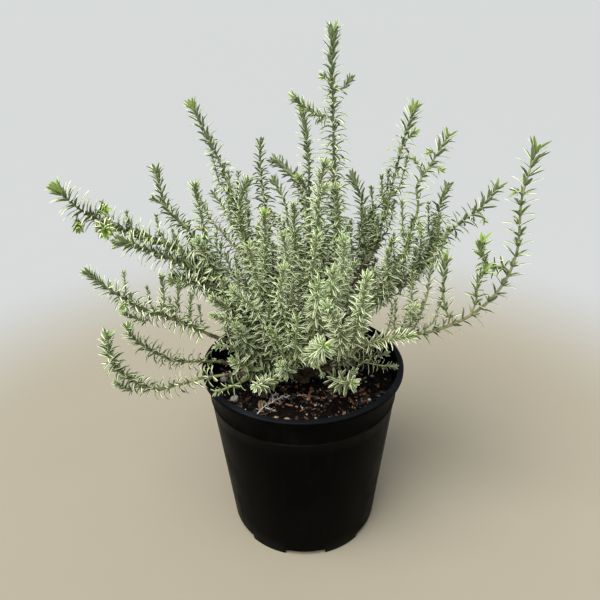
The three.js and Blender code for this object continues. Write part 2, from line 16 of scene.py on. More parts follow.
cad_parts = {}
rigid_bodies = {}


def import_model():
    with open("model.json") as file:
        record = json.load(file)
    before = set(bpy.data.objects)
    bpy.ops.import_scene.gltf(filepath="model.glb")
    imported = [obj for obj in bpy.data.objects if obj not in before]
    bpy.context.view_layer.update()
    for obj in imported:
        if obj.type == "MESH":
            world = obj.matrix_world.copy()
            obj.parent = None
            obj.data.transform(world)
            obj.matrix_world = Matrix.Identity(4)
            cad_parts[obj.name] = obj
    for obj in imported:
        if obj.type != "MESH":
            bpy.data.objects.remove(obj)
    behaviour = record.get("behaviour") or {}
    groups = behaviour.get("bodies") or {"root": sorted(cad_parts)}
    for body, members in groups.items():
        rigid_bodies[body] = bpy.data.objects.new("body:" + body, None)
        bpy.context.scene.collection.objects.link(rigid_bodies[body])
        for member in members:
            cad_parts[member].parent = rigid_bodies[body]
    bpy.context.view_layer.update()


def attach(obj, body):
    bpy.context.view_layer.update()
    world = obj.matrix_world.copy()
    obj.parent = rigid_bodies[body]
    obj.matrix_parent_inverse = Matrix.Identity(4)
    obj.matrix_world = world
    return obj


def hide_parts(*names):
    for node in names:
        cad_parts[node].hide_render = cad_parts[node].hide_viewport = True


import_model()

MM = 0.001

# %% [markdown]
# ## Camera, light and floor
# The view looks down on the pot at about 27 degrees, from half a metre in front and half a metre up. A pale
# sweep of floor and a soft sky keep the light even. A very wide sun above the left shoulder gives the leaves
# their bright upper faces and the gaps their depth. A weak lamp on the right lifts the black wall.

# %% Camera
CAMERA_AT = Vector((-1.8, -506.0, 518.0)) * MM
PITCH, ROLL = math.radians(27.3), math.radians(0.81)
LENS, SENSOR = 36, 36
NEAREST, FARTHEST = 0.02, 1200


def add_object(name, data):
    """A new object in the scene."""
    made = bpy.data.objects.new(name, data)
    bpy.context.scene.collection.objects.link(made)
    return made


def add_camera():
    ahead = Vector((0, math.cos(PITCH), -math.sin(PITCH)))
    right = Matrix.Rotation(ROLL, 3, ahead) @ Vector((1, 0, 0))
    camera = add_object("camera", bpy.data.cameras.new("camera"))
    camera.data.lens = LENS
    camera.data.sensor_width = SENSOR
    camera.data.clip_start = NEAREST
    camera.data.clip_end = FARTHEST
    axes = Matrix((right, right.cross(ahead), -ahead)).transposed()
    camera.matrix_world = Matrix.Translation(CAMERA_AT) @ axes.to_4x4()
    bpy.context.scene.camera = camera
    return camera


camera = add_camera()
bpy.context.scene.view_settings.view_transform = "Standard"
print("camera at", [round(c, 3) for c in camera.matrix_world.translation])

# %% Lamps and sky
MIDDLE = Vector((0, 0, 0.25))
SKY_COLOR, SKY_STRENGTH = (0.93, 0.96, 1.0, 1), 0.62


def add_lamp(kind, name, place, strength, color, **settings):
    """A lamp at a place, turned towards the middle of the plant."""
    lamp = add_object(name, bpy.data.lights.new(name, kind))
    for label, value in {"energy": strength, "color": color, **settings}.items():
        setattr(lamp.data, label, value)
    lamp.location = place
    lamp.rotation_euler = (MIDDLE - Vector(place)).to_track_quat("-Z", "Y").to_euler()


def add_sky():
    sky = bpy.data.worlds.new("soft_sky")
    sky.use_nodes = True
    background = sky.node_tree.nodes["Background"].inputs
    background["Color"].default_value = SKY_COLOR
    background["Strength"].default_value = SKY_STRENGTH
    bpy.context.scene.world = sky


add_lamp("SUN", "soft_daylight", (-0.8, -0.9, 2.2), 5.0, (1.0, 0.985, 0.95), angle=math.radians(50))
add_lamp("AREA", "fill_lamp", (1.3, -0.9, 0.9), 3.0, (0.95, 0.97, 1.0), shape="DISK", size=1.2)
add_sky()

# %% [markdown]
# ## Node trees written as sums
# Finishes and growth rules are both sums on numbers. One small class wraps an output socket, so that
# `1 - mask` adds the Math node by itself. Everything else goes through one method that takes a node's type,
# what its sockets get and its settings.

# %% A wire
class Wire:
    """An output socket. Sums on it add Math nodes to its tree."""

    def __init__(self, tree, socket):
        self.tree = tree
        self.socket = socket

    def out(self, name):
        return Wire(self.tree, self.socket.node.outputs[name])

    def math(self, operation, *others):
        return self.tree.node("ShaderNodeMath", [self, *others], operation=operation)

    def within(self, low, high):
        """Never below low or above high."""
        return self.math("MAXIMUM", low).math("MINIMUM", high)

    def __rsub__(self, other):
        return self.tree.node("ShaderNodeMath", [other, self], operation="SUBTRACT")


def sum_method(operation):
    return lambda wire, *others: wire.math(operation, *others)


SUMS = {"__add__": "ADD", "__radd__": "ADD", "__sub__": "SUBTRACT", "__mul__": "MULTIPLY",
        "__rmul__": "MULTIPLY", "__truediv__": "DIVIDE", "__gt__": "GREATER_THAN", "__lt__": "LESS_THAN",
        "__abs__": "ABSOLUTE", "__floor__": "FLOOR"}
for name, operation in SUMS.items():
    setattr(Wire, name, sum_method(operation))
print("sums on a wire:", sorted({"SUBTRACT", *SUMS.values()}))

# %% A tree
class Tree:
    """A node tree that is filled one node at a time."""

    def __init__(self, nodes):
        self.nodes = nodes

    def node(self, kind, sockets=(), out=0, **settings):
        made = self.nodes.nodes.new(kind)
        for name, value in settings.items():
            setattr(made, name, value)
        pairs = sockets.items() if isinstance(sockets, dict) else enumerate(sockets)
        for key, value in pairs:
            for one in value if isinstance(value, list) else [value]:
                if isinstance(one, Wire):
                    self.nodes.links.new(one.socket, made.inputs[key])
                elif one is not None:
                    made.inputs[key].default_value = one
        return Wire(self, made.outputs[out]) if len(made.outputs) else made

    def vector(self, operation, *values, out=0):
        return self.node("ShaderNodeVectorMath", values, out, operation=operation)

    def scaled(self, vector, amount):
        return self.node("ShaderNodeVectorMath", {"Vector": vector, "Scale": amount}, operation="SCALE")

    def sum_of(self, first, amount, second, other_amount):
        """Two directions added, each times its amount."""
        return self.vector("ADD", self.scaled(first, amount), self.scaled(second, other_amount))

    def join(self, x, y, z):
        return self.node("ShaderNodeCombineXYZ", [x, y, z])

    def split(self, vector):
        apart = self.node("ShaderNodeSeparateXYZ", [vector])
        return apart, apart.out("Y"), apart.out("Z")

    def step(self, value, low, high):
        """0 below low, 1 above high and smooth between."""
        return self.node("ShaderNodeMapRange", [value, low, high, 0.0, 1.0], interpolation_type="SMOOTHSTEP")

    def noise(self, place, scale, detail=2.0):
        return self.node("ShaderNodeTexNoise", {"Vector": place, "Scale": scale, "Detail": detail})

    def spots(self, place, scale, detail, low, high):
        """Noise as soft spots: 0 where it is below low and 1 where it is above high."""
        return self.step(self.noise(place, scale, detail), low, high)


class Finish(Tree):
    """A new material with one main shader."""

    def __init__(self, name, **constants):
        self.material = bpy.data.materials.new(name)
        self.material.use_nodes = True
        super().__init__(self.material.node_tree)
        self.nodes.nodes.clear()
        self.shader = self.node("ShaderNodeBsdfPrincipled", constants)
        self.node("ShaderNodeOutputMaterial", [self.shader])

    def place(self):
        return self.node("ShaderNodeTexCoord", (), "Object")

    def sheet(self):
        return self.node("ShaderNodeUVMap", uv_map="OFBake")

    def stretched(self, place, *scale):
        return self.node("ShaderNodeMapping", {"Vector": place, "Scale": scale})

    def bump(self, strength, distance, height):
        return self.node("ShaderNodeBump", {"Strength": strength, "Distance": distance, "Height": height})

    def mix(self, share, first, second):
        ends = [(*c, 1) if isinstance(c, tuple) else c for c in (first, second)]
        return self.node("ShaderNodeMix", {0: share, 6: ends[0], 7: ends[1]}, out=2, data_type="RGBA")

    def ramp(self, value, *stops):
        ramp = self.node("ShaderNodeValToRGB", [value])
        marks = ramp.socket.node.color_ramp.elements
        while len(marks) < len(stops):
            marks.new(1.0)
        for mark, (place, color) in zip(marks, stops):
            mark.position = place
            mark.color = (*color, 1)
        return ramp

    def feed(self, **values):
        for name, value in values.items():
            socket = self.shader.socket.node.inputs[name.replace("_", " ")]
            self.nodes.links.new(value.socket, socket)
        return self.material


print("a tree can add:", [name for name in {**vars(Tree), **vars(Finish)} if name[0] != "_"])

# %% Floor
FLOOR_NEAR, FLOOR_FAR, FLOOR_CLOUD = (0.262, 0.234, 0.172), (0.345, 0.358, 0.362), (0.35, 0.33, 0.29)
FLOOR_HALF = 400.0


def floor_finish():
    finish = Finish("pale_floor", Roughness=0.75)
    place = finish.place()
    far = finish.step(finish.vector("LENGTH", place, out="Value"), 0.40, 0.80)
    cloud = finish.noise(place, 9.0, 4.0)
    color = finish.mix(far, FLOOR_NEAR, FLOOR_FAR)
    return finish.feed(Base_Color=finish.mix(cloud * 0.12, color, FLOOR_CLOUD))


def add_floor():
    corners = [(FLOOR_HALF * x, FLOOR_HALF * y, 0) for x, y in ((-1, -1), (1, -1), (1, 1), (-1, 1))]
    mesh = bpy.data.meshes.new("floor")
    mesh.from_pydata(corners, [], [(0, 1, 2, 3)])
    mesh.materials.append(floor_finish())
    floor = add_object("floor", mesh)
    return floor


print("floor:", add_floor().name)

# %% [markdown]
# ## How the shrub branches
# A shrub could be grown by a rule, but this one has to keep the habit of the real plant, so every limb and
# shoot is listed one by one: the points that it passes through, in millimetres, as in the solids. A shoot
# starts at a share of its limb's length, and a side shoot at a share of its shoot's.

# %% Limbs of the woody base
LIMBS = {
    "left_high": [(-3, 1, 173), (-42, 6, 224), (-84, 12, 280)],
    "left_middle": [(-3, -2, 173), (-42, -15, 207), (-86, -27, 236)],
    "left_rim": [(-4, -1, 172), (-42, -8, 184), (-80, -13, 197)],
    "left_front": [(-3, -3, 173), (-36, -22, 190), (-74, -39, 199)],
    "front_left": [(-2, -5, 173), (-10, -28, 192), (-14, -42, 214)],
    "front": [(1, -5, 175), (7, -30, 206), (9, -42, 238)],
    "front_right": [(3, -4, 174), (27, -30, 199), (44, -50, 228)],
    "right_low": [(4, 0, 173), (46, -8, 199), (94, -14, 223)],
    "right_middle": [(4, 2, 175), (50, 11, 222), (100, 22, 268)],
    "right_up": [(3, 2, 175), (34, 14, 232), (64, 24, 286)],
    "centre_up": [(1, 1, 177), (13, 5, 236), (28, 8, 298)],
    "left_up": [(-2, 2, 176), (-22, 12, 232), (-46, 24, 290)],
    "back_left": [(-2, 4, 176), (-22, 36, 222), (-48, 62, 262)],
    "back_up": [(1, 4, 176), (4, 36, 236), (7, 60, 292)],
    "back_right": [(2, 4, 176), (30, 34, 217), (62, 58, 252)],
}

print("limbs:", len(LIMBS))

# %% Leafy shoots: the limb, the share of its length, the stem's points, then the side shoots
SHOOTS = {
    "tallest": ("centre_up", 1, [(32, 9, 318), (30, 12, 346), (29, 16, 403), (28, 18, 440), (27, 20, 465),
        (28, 22, 489)], (0.63, [(17, 10, 424), (5, 2, 433), (-4, -3, 441)]), (0.78, [(20, 12, 455)]),
        (0.74, [(37, 23, 444), (43, 27, 451)])),
    "left_high": ("left_high", 1, [(-119, 8, 309), (-161, 5, 329), (-192, 3, 346), (-210, 2, 366)],
        (0.75, [(-172, -3, 350)]), (0.84, [(-194, -12, 338)]), (0.66, [(-167, -22, 337)])),
    "right_long": ("right_low", 1, [(130, -14, 231), (162, -12, 247), (186, -6, 272), (197, 0, 304),
        (196, 6, 346), (198, 8, 366), (205, 14, 394)], (0.52, [(168, -12, 295), (158, -18, 312),
        (157, -20, 322)]), (0.29, [(159, -18, 280), (162, -24, 296)]), (0.19, [(134, -12, 252),
        (130, -8, 277), (132, -4, 299)]), (0.82, [(188, 3, 359)])),
    "left_middle": ("left_middle", 1, [(-108, -34, 254), (-141, -42, 273), (-167, -50, 299),
        (-178, -52, 312)], (0.42, [(-138, -47, 262), (-152, -56, 275)]), (0.38, [(-121, -38, 277),
        (-121, -36, 300)]), (0.26, [(-111, -34, 268), (-108, -32, 289)]), (0.15, [(-98, -30, 279)]),
        (0.6, [(-150, -62, 284)])),
    "left_low": ("left_front", 1, [(-94, -48, 202), (-119, -56, 199), (-140, -64, 204), (-161, -72, 231),
        (-163, -76, 256), (-162, -76, 265)], (0.53, [(-152, -72, 207), (-161, -80, 220)])),
    "left_rim": ("left_rim", 1, [(-99, -16, 200), (-119, -20, 203), (-140, -26, 217), (-156, -32, 238),
        (-158, -34, 248)]),
    "left_front_high": ("left_high", 0.9, [(-93, -12, 293), (-132, -16, 316), (-155, -20, 326)]),
    "left_upright": ("left_high", 0.95, [(-92, 22, 291), (-106, 36, 312), (-129, 50, 333), (-138, 63, 366)],
        (0.7, [(-142, 50, 343)])),
    "left_inner_upright": ("left_high", 0.7, [(-72, 2, 274), (-83, -4, 299), (-85, -10, 332),
        (-88, -17, 374)], (0.3, [(-89, -25, 328)])),
    "left_inner": ("left_high", 0.5, [(-62, -10, 260), (-86, -14, 281), (-111, -22, 291)]),
    "left_front_pair": ("left_middle", 0.5, [(-54, -20, 240), (-62, -26, 258), (-78, -36, 277)],
        (0.5, [(-66, -40, 258), (-77, -51, 269)])),
    "left_front_rim": ("left_front", 0.55, [(-60, -52, 198), (-78, -71, 203)]),
    "left_front_short": ("left_front", 0.4, [(-47, -38, 204), (-62, -55, 226)]),
    "front_left_low": ("left_front", 0.25, [(-33, -44, 194), (-43, -68, 205)]),
    "front_left_pale": ("front_left", 0.6, [(-15, -52, 212), (-19, -66, 227)]),
    "front_left_curved": ("front_left", 1, [(-23, -56, 247), (-28, -64, 263)]),
    "front_left_upright": ("front_left", 0.88, [(-5, -54, 230), (-6, -60, 250), (-4, -64, 274)]),
    "front_left_leaning": ("front_left", 0.45, [(-28, -34, 232), (-40, -42, 268), (-58, -58, 295)]),
    "front_left_inner": ("front_left", 0.74, [(-12, -38, 244), (-19, -44, 278), (-15, -56, 315)]),
    "front_reaching": ("front", 0.7, [(9, -66, 236), (13, -100, 262), (16, -128, 285)],
        (0.25, [(17, -82, 226)])),
    "front_middle": ("front", 1, [(12, -56, 272), (13, -82, 315)]),
    "front_middle_right": ("front", 0.88, [(21, -46, 262), (25, -54, 288), (25, -72, 320)]),
    "front_middle_back": ("front", 0.8, [(8, -24, 264), (9, -26, 295), (13, -36, 334)]),
    "front_right_tall": ("front_right", 0.85, [(44, -62, 252), (48, -74, 284), (51, -83, 318)],
        (0.6, [(60, -80, 292)])),
    "front_right_leaning": ("front_right", 0.68, [(33, -57, 240), (31, -73, 266), (19, -89, 297)]),
    "front_right_low": ("front_right", 0.42, [(34, -58, 202), (43, -80, 218)], (0.45, [(46, -62, 218)])),
    "front_right_rim": ("front_right", 1, [(58, -62, 246), (77, -75, 259), (89, -84, 265)]),
    "right_low_upright": ("right_low", 0.88, [(104, -12, 237), (116, -8, 260), (120, 2, 287)],
        (0.3, [(98, -28, 257), (101, -38, 268)])),
    "right_inner": ("right_middle", 1, [(121, 30, 285), (131, 40, 314), (134, 48, 331), (142, 57, 348)]),
    "right_high": ("right_middle", 0.86, [(116, 13, 286), (130, 18, 306), (150, 26, 323), (168, 32, 334),
        (185, 40, 353)], (0.78, [(171, 22, 325)])),
    "upper_right_forked": ("right_middle", 0.66, [(84, 3, 280), (95, 2, 306), (105, 9, 342), (103, 12, 361),
        (110, 14, 374), (121, 18, 391), (129, 21, 405)], (0.77, [(99, 19, 386)]), (0.88, [(111, 10, 393)]),
        (0.82, [(122, 6, 378)]), (0.58, [(104, -13, 329)])),
    "upper_right": ("right_up", 1, [(74, 30, 304), (80, 38, 336), (88, 46, 360), (96, 54, 393),
        (104, 60, 420)], (0.76, [(105, 49, 402)])),
    "centre_right": ("right_up", 0.82, [(61, 42, 302), (61, 57, 327), (58, 67, 341), (52, 77, 352)],
        (0.4, [(68, 42, 330)])),
    "centre_tall": ("centre_up", 0.68, [(10, 22, 290), (8, 34, 330), (8, 48, 375), (3, 60, 420)],
        (0.55, [(-2, 34, 366)])),
    "centre_front": ("centre_up", 0.84, [(16, -8, 320), (15, -14, 352), (17, -20, 380), (20, -24, 393)],
        (0.7, [(21, -30, 376)])),
    "centre_bright": ("centre_up", 0.93, [(33, -6, 318), (32, -13, 344), (29, -25, 373)]),
    "centre_left_front": ("centre_up", 0.5, [(1, 4, 270), (-5, 2, 300), (-6, -2, 350)]),
    "inner_right": ("centre_up", 0.36, [(25, -24, 270), (34, -44, 303), (34, -60, 340)],
        (0.55, [(46, -40, 312)])),
    "upper_left": ("left_up", 1, [(-58, 38, 319), (-67, 48, 351), (-77, 56, 379), (-91, 65, 407),
        (-99, 71, 424)]),
    "upper_left_inner": ("left_up", 0.9, [(-49, 12, 304), (-55, 14, 335), (-54, 18, 352), (-48, 20, 366)]),
    "centre_left": ("left_up", 0.8, [(-31, 38, 308), (-35, 56, 337), (-39, 76, 362), (-39, 90, 386)]),
    "centre_left_small": ("left_up", 0.62, [(-14, 26, 288), (-13, 36, 331), (-20, 46, 351), (-25, 51, 358)]),
    "inner_left_bright": ("left_up", 0.71, [(-34, -2, 280), (-32, -8, 304), (-31, -18, 350)],
        (0.5, [(-44, -8, 318)])),
    "inner_left": ("left_up", 0.53, [(-32, -16, 262), (-38, -28, 288), (-44, -43, 329)]),
    "inner_middle": ("left_up", 0.35, [(-11, -15, 254), (-10, -26, 292), (-15, -43, 339)]),
    "back_left_upright": ("back_left", 1, [(-58, 66, 288), (-73, 80, 311), (-89, 95, 333)]),
    "back_left_high": ("back_left", 0.85, [(-60, 80, 266), (-81, 100, 283), (-101, 117, 302),
        (-106, 123, 314)]),
    "back_left_inner": ("back_left", 0.68, [(-58, 52, 246), (-72, 62, 258), (-79, 78, 271)]),
    "back_left_low": ("back_left", 0.45, [(-56, 66, 232), (-88, 90, 250)], (0.35, [(-46, 90, 226),
        (-56, 112, 236)])),
    "back_leaning": ("back_up", 1, [(4, 76, 322), (-2, 90, 344), (-13, 106, 353), (-25, 119, 360)]),
    "back_middle_left": ("back_up", 0.84, [(-10, 84, 290), (-35, 124, 301)]),
    "back_middle": ("back_up", 0.68, [(12, 86, 272), (20, 127, 288)]),
    "back_middle_low": ("back_up", 0.42, [(6, 76, 230), (2, 118, 240)]),
    "back_right_high": ("back_right", 1, [(72, 88, 270), (78, 116, 287)], (0.4, [(84, 92, 292)])),
    "back_right": ("back_right", 0.8, [(88, 70, 256), (114, 92, 266)]),
    "back_right_low": ("back_right", 0.45, [(72, 54, 222), (104, 68, 228)], (0.3, [(54, 78, 228),
        (68, 106, 238)])),
}

print("shoots:", len(SHOOTS), "with side shoots:", sum(len(shoot) - 3 for shoot in SHOOTS.values()))

# %% [markdown]
# A smooth line goes through the points. Each stretch is a Hermite curve whose end slopes come from the
# neighbouring points, which is how the solids were drawn too, so the fine stems lie inside them.

# %% Smooth lines
BEND_SHARE, BEND_AHEAD = 0.4, 3


def through(points, steps=16):
    """A smooth line through points, as many close points."""
    p = np.array(points, float)
    p = np.vstack([2 * p[0] - p[1], p, 2 * p[-1] - p[-2]])
    t = (np.arange(steps) / steps)[:, None]
    pieces = []
    for a, b, c, d in zip(p, p[1:], p[2:], p[3:]):
        leave, arrive = (c - a) / 2, (d - b) / 2
        pieces.append((2 * t**3 - 3 * t**2 + 1) * b + (t**3 - 2 * t**2 + t) * leave
                      + (3 * t**2 - 2 * t**3) * c + (t**3 - t**2) * arrive)
    return np.vstack([*pieces, p[-2:-1]])


def runs_of(line):
    """The length of each straight stretch of a line."""
    return np.linalg.norm(np.diff(line, axis=0), axis=1)


def at_share(line, share):
    """The point and the direction at a share of a line's length."""
    runs = runs_of(line)
    far = np.concatenate([[0], np.cumsum(runs)])
    place = np.array([np.interp(share * far[-1], far, line[:, k]) for k in range(3)])
    k = min(np.searchsorted(far, share * far[-1], side="right"), len(line) - 1)
    return place, (line[k] - line[k - 1]) / runs[k - 1]


def shoot_lines(limb, share, stem, *sides):
    """The line of a shoot and of each of its side shoots."""
    start, _ = at_share(through(LIMBS[limb]), share)
    main = through([start, *stem])
    lines = [main]
    for side_share, points in sides:
        start, along = at_share(main, side_share)
        bend = start + BEND_SHARE * (np.array(points[0]) - start) + BEND_AHEAD * along
        lines.append(through([start, bend, *points]))
    return lines


LINES = {name: shoot_lines(*shoot) for name, shoot in SHOOTS.items()}
total = sum(runs_of(line).sum() for lines in LINES.values() for line in lines)
print("stems in all:", round(total / 1000, 2), "m")

# %% A curve object from several lines
def curve_of(name, lines, radii):
    """A curve with one spline of straight steps for each line. Each tapers between its two radii, in mm."""
    data = bpy.data.curves.new(name, "CURVE")
    data.dimensions = "3D"
    for line, (thick, thin) in zip(lines, radii):
        spline = data.splines.new("POLY")
        spline.points.add(len(line) - 1)
        for k, (point, corner) in enumerate(zip(spline.points, line)):
            point.co = (*(corner * MM), 1)
            point.radius = (thick + (thin - thick) * k / (len(line) - 1)) * MM
    return add_object(name, data)


limb_lines = [through(points) for points in LIMBS.values()]
print("points in a limb's line:", len(limb_lines[0]))

# %% [markdown]
# ## Growth by a node tree
# Leaves repeat thousands of times, so Geometry Nodes set them: one tree for all shoots. Its inputs are the
# sizes that a grower would give. A modifier takes each value by its socket's identifier.

# %% Trees with named inputs
def new_growth(name, inputs):
    """An empty Geometry Nodes tree and its inputs as wires. Each is given by its usual value or its kind."""
    group = bpy.data.node_groups.new(name, "GeometryNodeTree")
    face = group.interface
    face.new_socket("Geometry", in_out="INPUT", socket_type="NodeSocketGeometry")
    for label, value in inputs.items():
        kind = value if isinstance(value, str) else type(value).__name__.title()
        socket = face.new_socket(label, in_out="INPUT", socket_type="NodeSocket" + kind)
        if kind != value:
            socket.default_value = value
    face.new_socket("Geometry", in_out="OUTPUT", socket_type="NodeSocketGeometry")
    tree = Tree(group)
    entry = tree.node("NodeGroupInput")
    return tree, {label: entry.out(label) for label in ["Geometry", *inputs]}


def capture(tree, geometry, domain, **fields):
    """Keeps fields on a geometry: the new geometry, then each field as it was."""
    kept = tree.node("GeometryNodeCaptureAttribute", [geometry], domain=domain)
    node = kept.socket.node
    for name, field in fields.items():
        node.capture_items.new(field.socket.type.replace("VALUE", "FLOAT"), name)
        tree.nodes.links.new(field.socket, node.inputs[name])
    return kept, *[kept.out(name) for name in fields]


def tube(tree, curve, ring, radius):
    """A closed tube along a curve."""
    sockets = {"Curve": curve, "Profile Curve": ring, "Scale": radius, "Fill Caps": True}
    return tree.node("GeometryNodeCurveToMesh", sockets)


def chance(tree, inp, low, high, number, key=None):
    """A repeatable number between low and high for each point, or for each key."""
    sockets = {2: low, 3: high, 7: key, 8: inp["Seed"] + number}
    return tree.node("FunctionNodeRandomValue", sockets, out=1, data_type="FLOAT")


def close_growth(tree, geometry, finish):
    """The end of every tree: real mesh and one finish."""
    real = tree.node("GeometryNodeRealizeInstances", [geometry])
    done = tree.node("GeometryNodeSetMaterial", {"Geometry": real, "Material": finish})
    tree.node("NodeGroupOutput", [done])
    return tree.nodes


print("parts of a tree:", [f.__name__ for f in (new_growth, capture, tube, chance, close_growth)])

# %% Plain meshes from trees, and pieces from meshes
def plain_mesh(source):
    """The mesh that an object's modifiers make of it."""
    source.update_tag()
    bpy.context.view_layer.update()
    seen = bpy.context.evaluated_depsgraph_get()
    solved = source.evaluated_get(seen)
    return bpy.data.meshes.new_from_object(solved, preserve_all_data_layers=True, depsgraph=seen)


def grown(source, tree, name, **values):
    """Runs a tree on an object and returns the result as a plain mesh object. The source is removed."""
    modifier = source.modifiers.new(name, "NODES")
    modifier.node_group = tree
    sockets = {s.name: s.identifier for s in tree.interface.items_tree if s.in_out == "INPUT"}
    for label, value in values.items():
        modifier[sockets[label.replace("_", " ")]] = value
    mesh = plain_mesh(source)
    mesh.name = name
    bpy.data.objects.remove(source)
    return add_object(name, mesh)


def mesh_of(name, work):
    """The mesh of a finished bmesh."""
    mesh = bpy.data.meshes.new(name)
    work.to_mesh(mesh)
    work.free()
    return mesh


def smooth_object(name, work):
    """A smooth-shaded object of a finished bmesh."""
    for face in work.faces:
        face.smooth = True
    return add_object(name, mesh_of(name, work))


def shape_group(name, meshes):
    """A collection of shapes that a tree picks from."""
    group = bpy.data.collections.new(name)
    for mesh in meshes:
        group.objects.link(bpy.data.objects.new(mesh.name, mesh))
    bpy.context.scene.collection.children.link(group)
    return group


def triangles(piece):
    return sum(len(p.vertices) - 2 for p in piece.data.polygons)


def place_piece(piece, slot, *nodes):
    """Rides on the one body and stands for its solids. The slot is not used."""
    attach(piece, "root")
    if nodes:
        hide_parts(*nodes)
    return piece


# %% [markdown]
# ## One leaf
# A leaf is a narrow blade, about 16 mm by 3 to 5 mm, with a short foot and edges that roll under. Grown
# leaves arch back until their tips hang. A flat card with a picture would have no edge and no back, so the
# leaf is a thin closed body of 26 faces along an arc. Its map runs round the blade: over the upper side in
# the first half and back over the lower side in the second, so that one finish can tell the two apart.

# %% Leaf bodies
LEAF_RINGS = [(0.0, 0.32), (0.15, 0.86), (0.42, 1.0), (0.70, 0.92), (0.90, 0.50)]
LEAF_SECTION = [(-1, -0.20), (-0.4, 0.10), (0.4, 0.10), (1, -0.20), (0, -0.26)]
LEAF_TURN = [0, 0.15, 0.35, 0.5, 0.75, 1]
LEAF_PLUMP = 0.12
BENDS = [0.3, 0.8, 1.3, 1.8]


def leaf_body(name, bend):
    """A leaf of length 1 and width 1, from the origin up Z, its upper side towards Y, arched by a bend."""
    def on_arc(x, along, lift):
        cosine, sine = math.cos(bend * along), math.sin(bend * along)
        return x, (cosine - 1) / bend + lift * cosine, sine / bend + lift * sine

    corners = [on_arc(0.5 * wide * x, along, lift * LEAF_PLUMP * (0.3 + 0.7 * wide))
               for along, wide in LEAF_RINGS for x, lift in LEAF_SECTION]
    rounds, tip = len(LEAF_SECTION), len(corners)
    corners.append(on_arc(0, 1, 0))
    faces, maps = [], []
    for i, (low, _) in enumerate(LEAF_RINGS):
        for j, (left, right) in enumerate(zip(LEAF_TURN, LEAF_TURN[1:])):
            a, b = i * rounds + j, i * rounds + (j + 1) % rounds
            maps += [(left, low), (right, low)]
            if b + rounds < tip:
                high = LEAF_RINGS[i + 1][0]
                faces.append((a, b, b + rounds, a + rounds))
                maps += [(right, high), (left, high)]
            else:
                faces.append((a, b, tip))
                maps.append(((left + right) / 2, 1))
    faces.append(tuple(reversed(range(rounds))))
    maps += [(0.75, 0)] * rounds
    mesh = bpy.data.meshes.new(name)
    mesh.from_pydata(corners, [], faces)
    mesh.uv_layers.new(name="blade").uv.foreach_set("vector", np.array(maps, np.float32).ravel())
    outward(mesh)
    return mesh


def outward(mesh):
    """Turns a closed mesh's faces outwards."""
    work = bmesh.new()
    work.from_mesh(mesh)
    bmesh.ops.recalc_face_normals(work, faces=work.faces)
    work.to_mesh(mesh)
    work.free()


leaf_shapes = shape_group("leaf_shapes", [leaf_body(f"leaf_{k}", bend) for k, bend in enumerate(BENDS)])

# %% [markdown]
# ## The finish of leaves and young stems
# The leaf is green along the middle, with cream margins, and pale and felted below. The newest leaves are
# lime-green. They turn deep green as they grow, and darken with age; near the pot the same darkening is
# painted shade. Each leaf's map lies in one cell of a sheet: the column is its age and the row its tone,
# partly its own and partly painted light, and a last column is for stems. All that the finish
# paints is read from that map, so every leaf in a cell looks alike and the sheet is small.

# %% Reading a cell of the sheet
AGES, TONES, STEM_COLUMN = 8, 4, 8
SHEET = (STEM_COLUMN + 1, TONES)
INSET = 0.05


def cell_of(sheet):
    """The column and the row as numbers, and the place in the cell."""
    across, up, _ = sheet.tree.split(sheet)
    across, up = across * SHEET[0], up * SHEET[1]
    column, row = math.floor(across), math.floor(up)
    inner = 1 - 2 * INSET
    return column, row, (across - column - INSET) / inner, (up - row - INSET) / inner


print("cells of the sheet:", SHEET[0] * SHEET[1])

# %% Leaf finish
# The last green and cream are for old leaves, and also serve as painted shade on leaves near the pot.
GROWTH = (0, 0.3, 0.65, 1)
GREENS = ((0.22, 0.36, 0.040), (0.076, 0.158, 0.017), (0.046, 0.098, 0.011), (0.023, 0.044, 0.007))
CREAMS = ((0.56, 0.66, 0.24), (0.80, 0.87, 0.55), (0.95, 1.0, 0.64), (0.42, 0.48, 0.23))
GREY_GREEN = (0.16, 0.21, 0.09)
FELT_RIB, FELT, FELT_TIP = (0.08, 0.11, 0.045), (0.17, 0.205, 0.11), (0.30, 0.42, 0.09)
STEM_PLACES = (0, 0.35, 0.75, 1)
STEM_COLORS = ((0.29, 0.34, 0.12), (0.27, 0.29, 0.115), (0.19, 0.18, 0.075), (0.12, 0.10, 0.055))
STEM_STREAK = (0.06, 0.045, 0.02)


def blade_color(finish, sheet, age, tone, turn, along):
    """Green with cream margins and a faint rib above, felt below."""
    below = turn > 0.5
    across = abs(turn * 4 - 1) * (1 - below) + abs(turn * 4 - 3) * below
    waver = (finish.noise(sheet, 46.0) - 0.5) * 0.4
    edge = finish.step(across + waver + 0.2 * along * along - 0.22 * tone, 0.44, 0.60)
    green = finish.mix((1 - tone) * 0.22, finish.ramp(age, *zip(GROWTH, GREENS)), GREY_GREEN)
    cream = finish.ramp(age, *zip(GROWTH, CREAMS))
    rib = (1 - finish.step(across, 0.03, 0.16)) * 0.12
    upper = finish.mix(edge, finish.mix(rib, green, cream), cream)
    felt = finish.mix(finish.step(across, 0.05, 0.2), FELT_RIB, FELT)
    felt = finish.mix(1 - finish.step(age, 0.05, 0.35), felt, FELT_TIP)
    # Below, the cream margin narrows on the greener rows: painted shade on leaf edges seen against the bright
    # wall.
    felt = finish.mix(finish.step(across, 0.78, 0.98) * (1 - 0.55 * tone), felt, cream)
    return finish.mix(below, upper, felt), below


def stem_color(finish, sheet):
    """Yellow-green at the tip, olive below and brown where the stem turns to wood."""
    streak = finish.noise(finish.stretched(sheet, 900.0, 30.0, 1.0), 1.0)
    base = finish.ramp(finish.split(sheet)[1], *zip(STEM_PLACES, STEM_COLORS))
    return finish.mix(streak * 0.4, base, STEM_STREAK)


